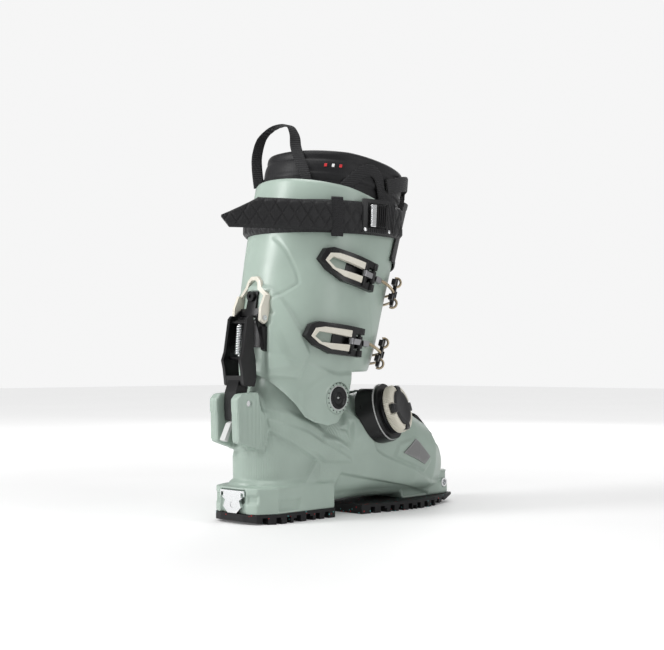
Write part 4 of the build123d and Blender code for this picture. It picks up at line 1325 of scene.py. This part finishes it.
def skin_block(name, low_angle, high_angle, low, high, inner, outer, steps=6):
    """A block that hugs the cuff between two angles, two heights and two growths."""
    angles = np.radians(np.linspace(low_angle, high_angle, steps))
    rows = []
    for height, grow in ((low, inner), (low, outer), (high, outer), (high, inner)):
        rows.append(cuff_point(angles, np.full(steps, float(height)), grow))
    return block_along(name, rows)


def ladder(name, height, node):
    """The ladder rack on the front of the cuff: a base strip with rounded teeth."""
    blocks = [skin_block("strip", 84, 118, height - 6.5, height + 6.5, 0.4, 2.8, steps=16)]
    for angle in (86, 92, 98, 104, 110):
        blocks.append(skin_block("rung", angle, angle + 2.6, height - 6.0, height + 6.0, 2.4, 6.6))
    obj = join_meshes(name, blocks)
    bevel(obj, 0.6, 2, 40)
    return finish_piece(obj, "dark", "cuff", "dark_grey", node)


def level_block(name, rear, front, low, high, inner, outer, steps=10):
    """A block on the cuff's outer side between two Y, two levels and two growths."""
    rows, y = [], np.linspace(rear, front, steps)
    for level, grow in ((low, inner), (low, outer), (high, outer), (high, inner)):
        points, _ = level_ring(grow, level, *RING_SPAN)
        rows.append(np.stack([np.interp(y, points[:, 1], points[:, 0]), y, np.full(steps, float(level))], -1))
    return block_along(name, rows)


def strap_buckle():
    """The strap's buckle: a dark frame with a ribbed rail and rivets, and a cam with a bar and a pad."""
    posts = [level_block("post", -42, -36.8, 268, 300, 5.7, 8.4),
             level_block("post", -10.5, 2, 268, 300, 5.7, 7.8),
             level_block("rail", -38, -10, 296, 300, 5.7, 8.4),
             level_block("rail", -38, -10, 268, 272.4, 5.7, 8.4)]
    posts += [level_block("rib", y, y + 1.3, 268.2, 272.2, 8.0, 9.1, 4) for y in np.arange(-36, -11, 2.6)]
    posts += [level_block("rib", y, y + 1.2, 270, 298, 7.4, 8.4, 4) for y in np.arange(-9.4, 1.0, 2.4)]
    obj = join_meshes("buckle_frame", posts)
    bevel(obj, 0.45, 2, 40)
    finish_piece(obj, "dark", "cuff", "dark_grey", "strap_buckle")
    rivets = []
    for y in (-39.4, -6.0):
        points, out = level_ring(8.2, 271.0, *RING_SPAN)
        nearest = int(np.argmin(np.abs(points[:, 1] - y)))
        rivets.append(turned("rivet", points[nearest], out[nearest],
                             [(1.9, -0.6), (1.9, 0.3), (1.5, 0.8), (0.7, 1.0)], steps=32))
    obj = join_meshes("buckle_rivets", rivets)
    shade_smooth(obj)
    finish_piece(obj, "steel", "cuff", "steel")
    obj = join_meshes("cam_bar", [level_block("bar", -35, -28.6, 273.6, 294.6, 8.9, 11.4)])
    bevel(obj, 0.9, 3, 40)
    finish_piece(obj, "steel", "strap_cam", "steel", "strap_cam")
    pad = [level_block("pad", -28.0, -12.5, 274, 294.2, 8.9, 10.2)]
    pad += [level_block("rib", y, y + 1.5, 274.6, 293.6, 9.8, 11.2, 4) for y in np.arange(-27.2, -13.5, 2.8)]
    obj = join_meshes("cam_pad", pad)
    bevel(obj, 0.4, 2, 40)
    return finish_piece(obj, "black", "strap_cam", "black_plastic")


LUG_PITCH, LUG_GAP, LUG_DEPTH = 12.4, 5.2, 6.2


def lugged_sole(node):
    """A rubber sole with deep gaps between its edge lugs, and softened corners."""
    obj = bpy.data.objects.new(node + "_lugs", frame["nodes"][node].data.copy())
    bpy.context.scene.collection.objects.link(obj)
    low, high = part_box(node)
    reach = 13.0
    edges = {-1: low.x / MM, 1: high.x / MM}
    faces = [(0, 1, 2, 3), (7, 6, 5, 4), (0, 4, 5, 1), (1, 5, 6, 2), (2, 6, 7, 3), (3, 7, 4, 0)]
    cutters = []
    for side, edge in edges.items():
        for y in np.arange(low.y / MM + 9, high.y / MM - 4, LUG_PITCH):
            near, far = edge - side * reach, edge + side * 4
            skew = 2.2 * side
            base = [(near, y + skew), (far, y), (far, y + LUG_GAP), (near, y + LUG_GAP + skew)]
            corners = [(px, py, level) for level in (-2.0, LUG_DEPTH) for px, py in base]
            cutters.append(new_object("gap", corners, faces, smooth_shade=False))
    tool = join_meshes("gaps", cutters)
    recalculate(tool)
    cut = obj.modifiers.new("gaps", "BOOLEAN")
    cut.operation, cut.object, cut.solver = "DIFFERENCE", tool, "EXACT"
    apply_modifiers(obj)
    bpy.data.objects.remove(tool)
    bevel(obj, 0.5, 2, 40)
    return finish_piece(obj, "rubber", "shell", "sole_rubber", node)


dial_knob()
dial_cap()
strap_buckle()
lugged_sole("heel_sole")
lugged_sole("toe_sole")
pivot_screws()
pivot_rings()
link_spring()
bail("upper_bail", 118.5, "upper_bail", "bail_wire_upper")
bail("lower_bail", 57.0, "lower_bail", "bail_wire_lower")
ladder("upper_ladder", 122.0, "ladder_upper")
ladder("lower_ladder", 60.0, "ladder_lower")
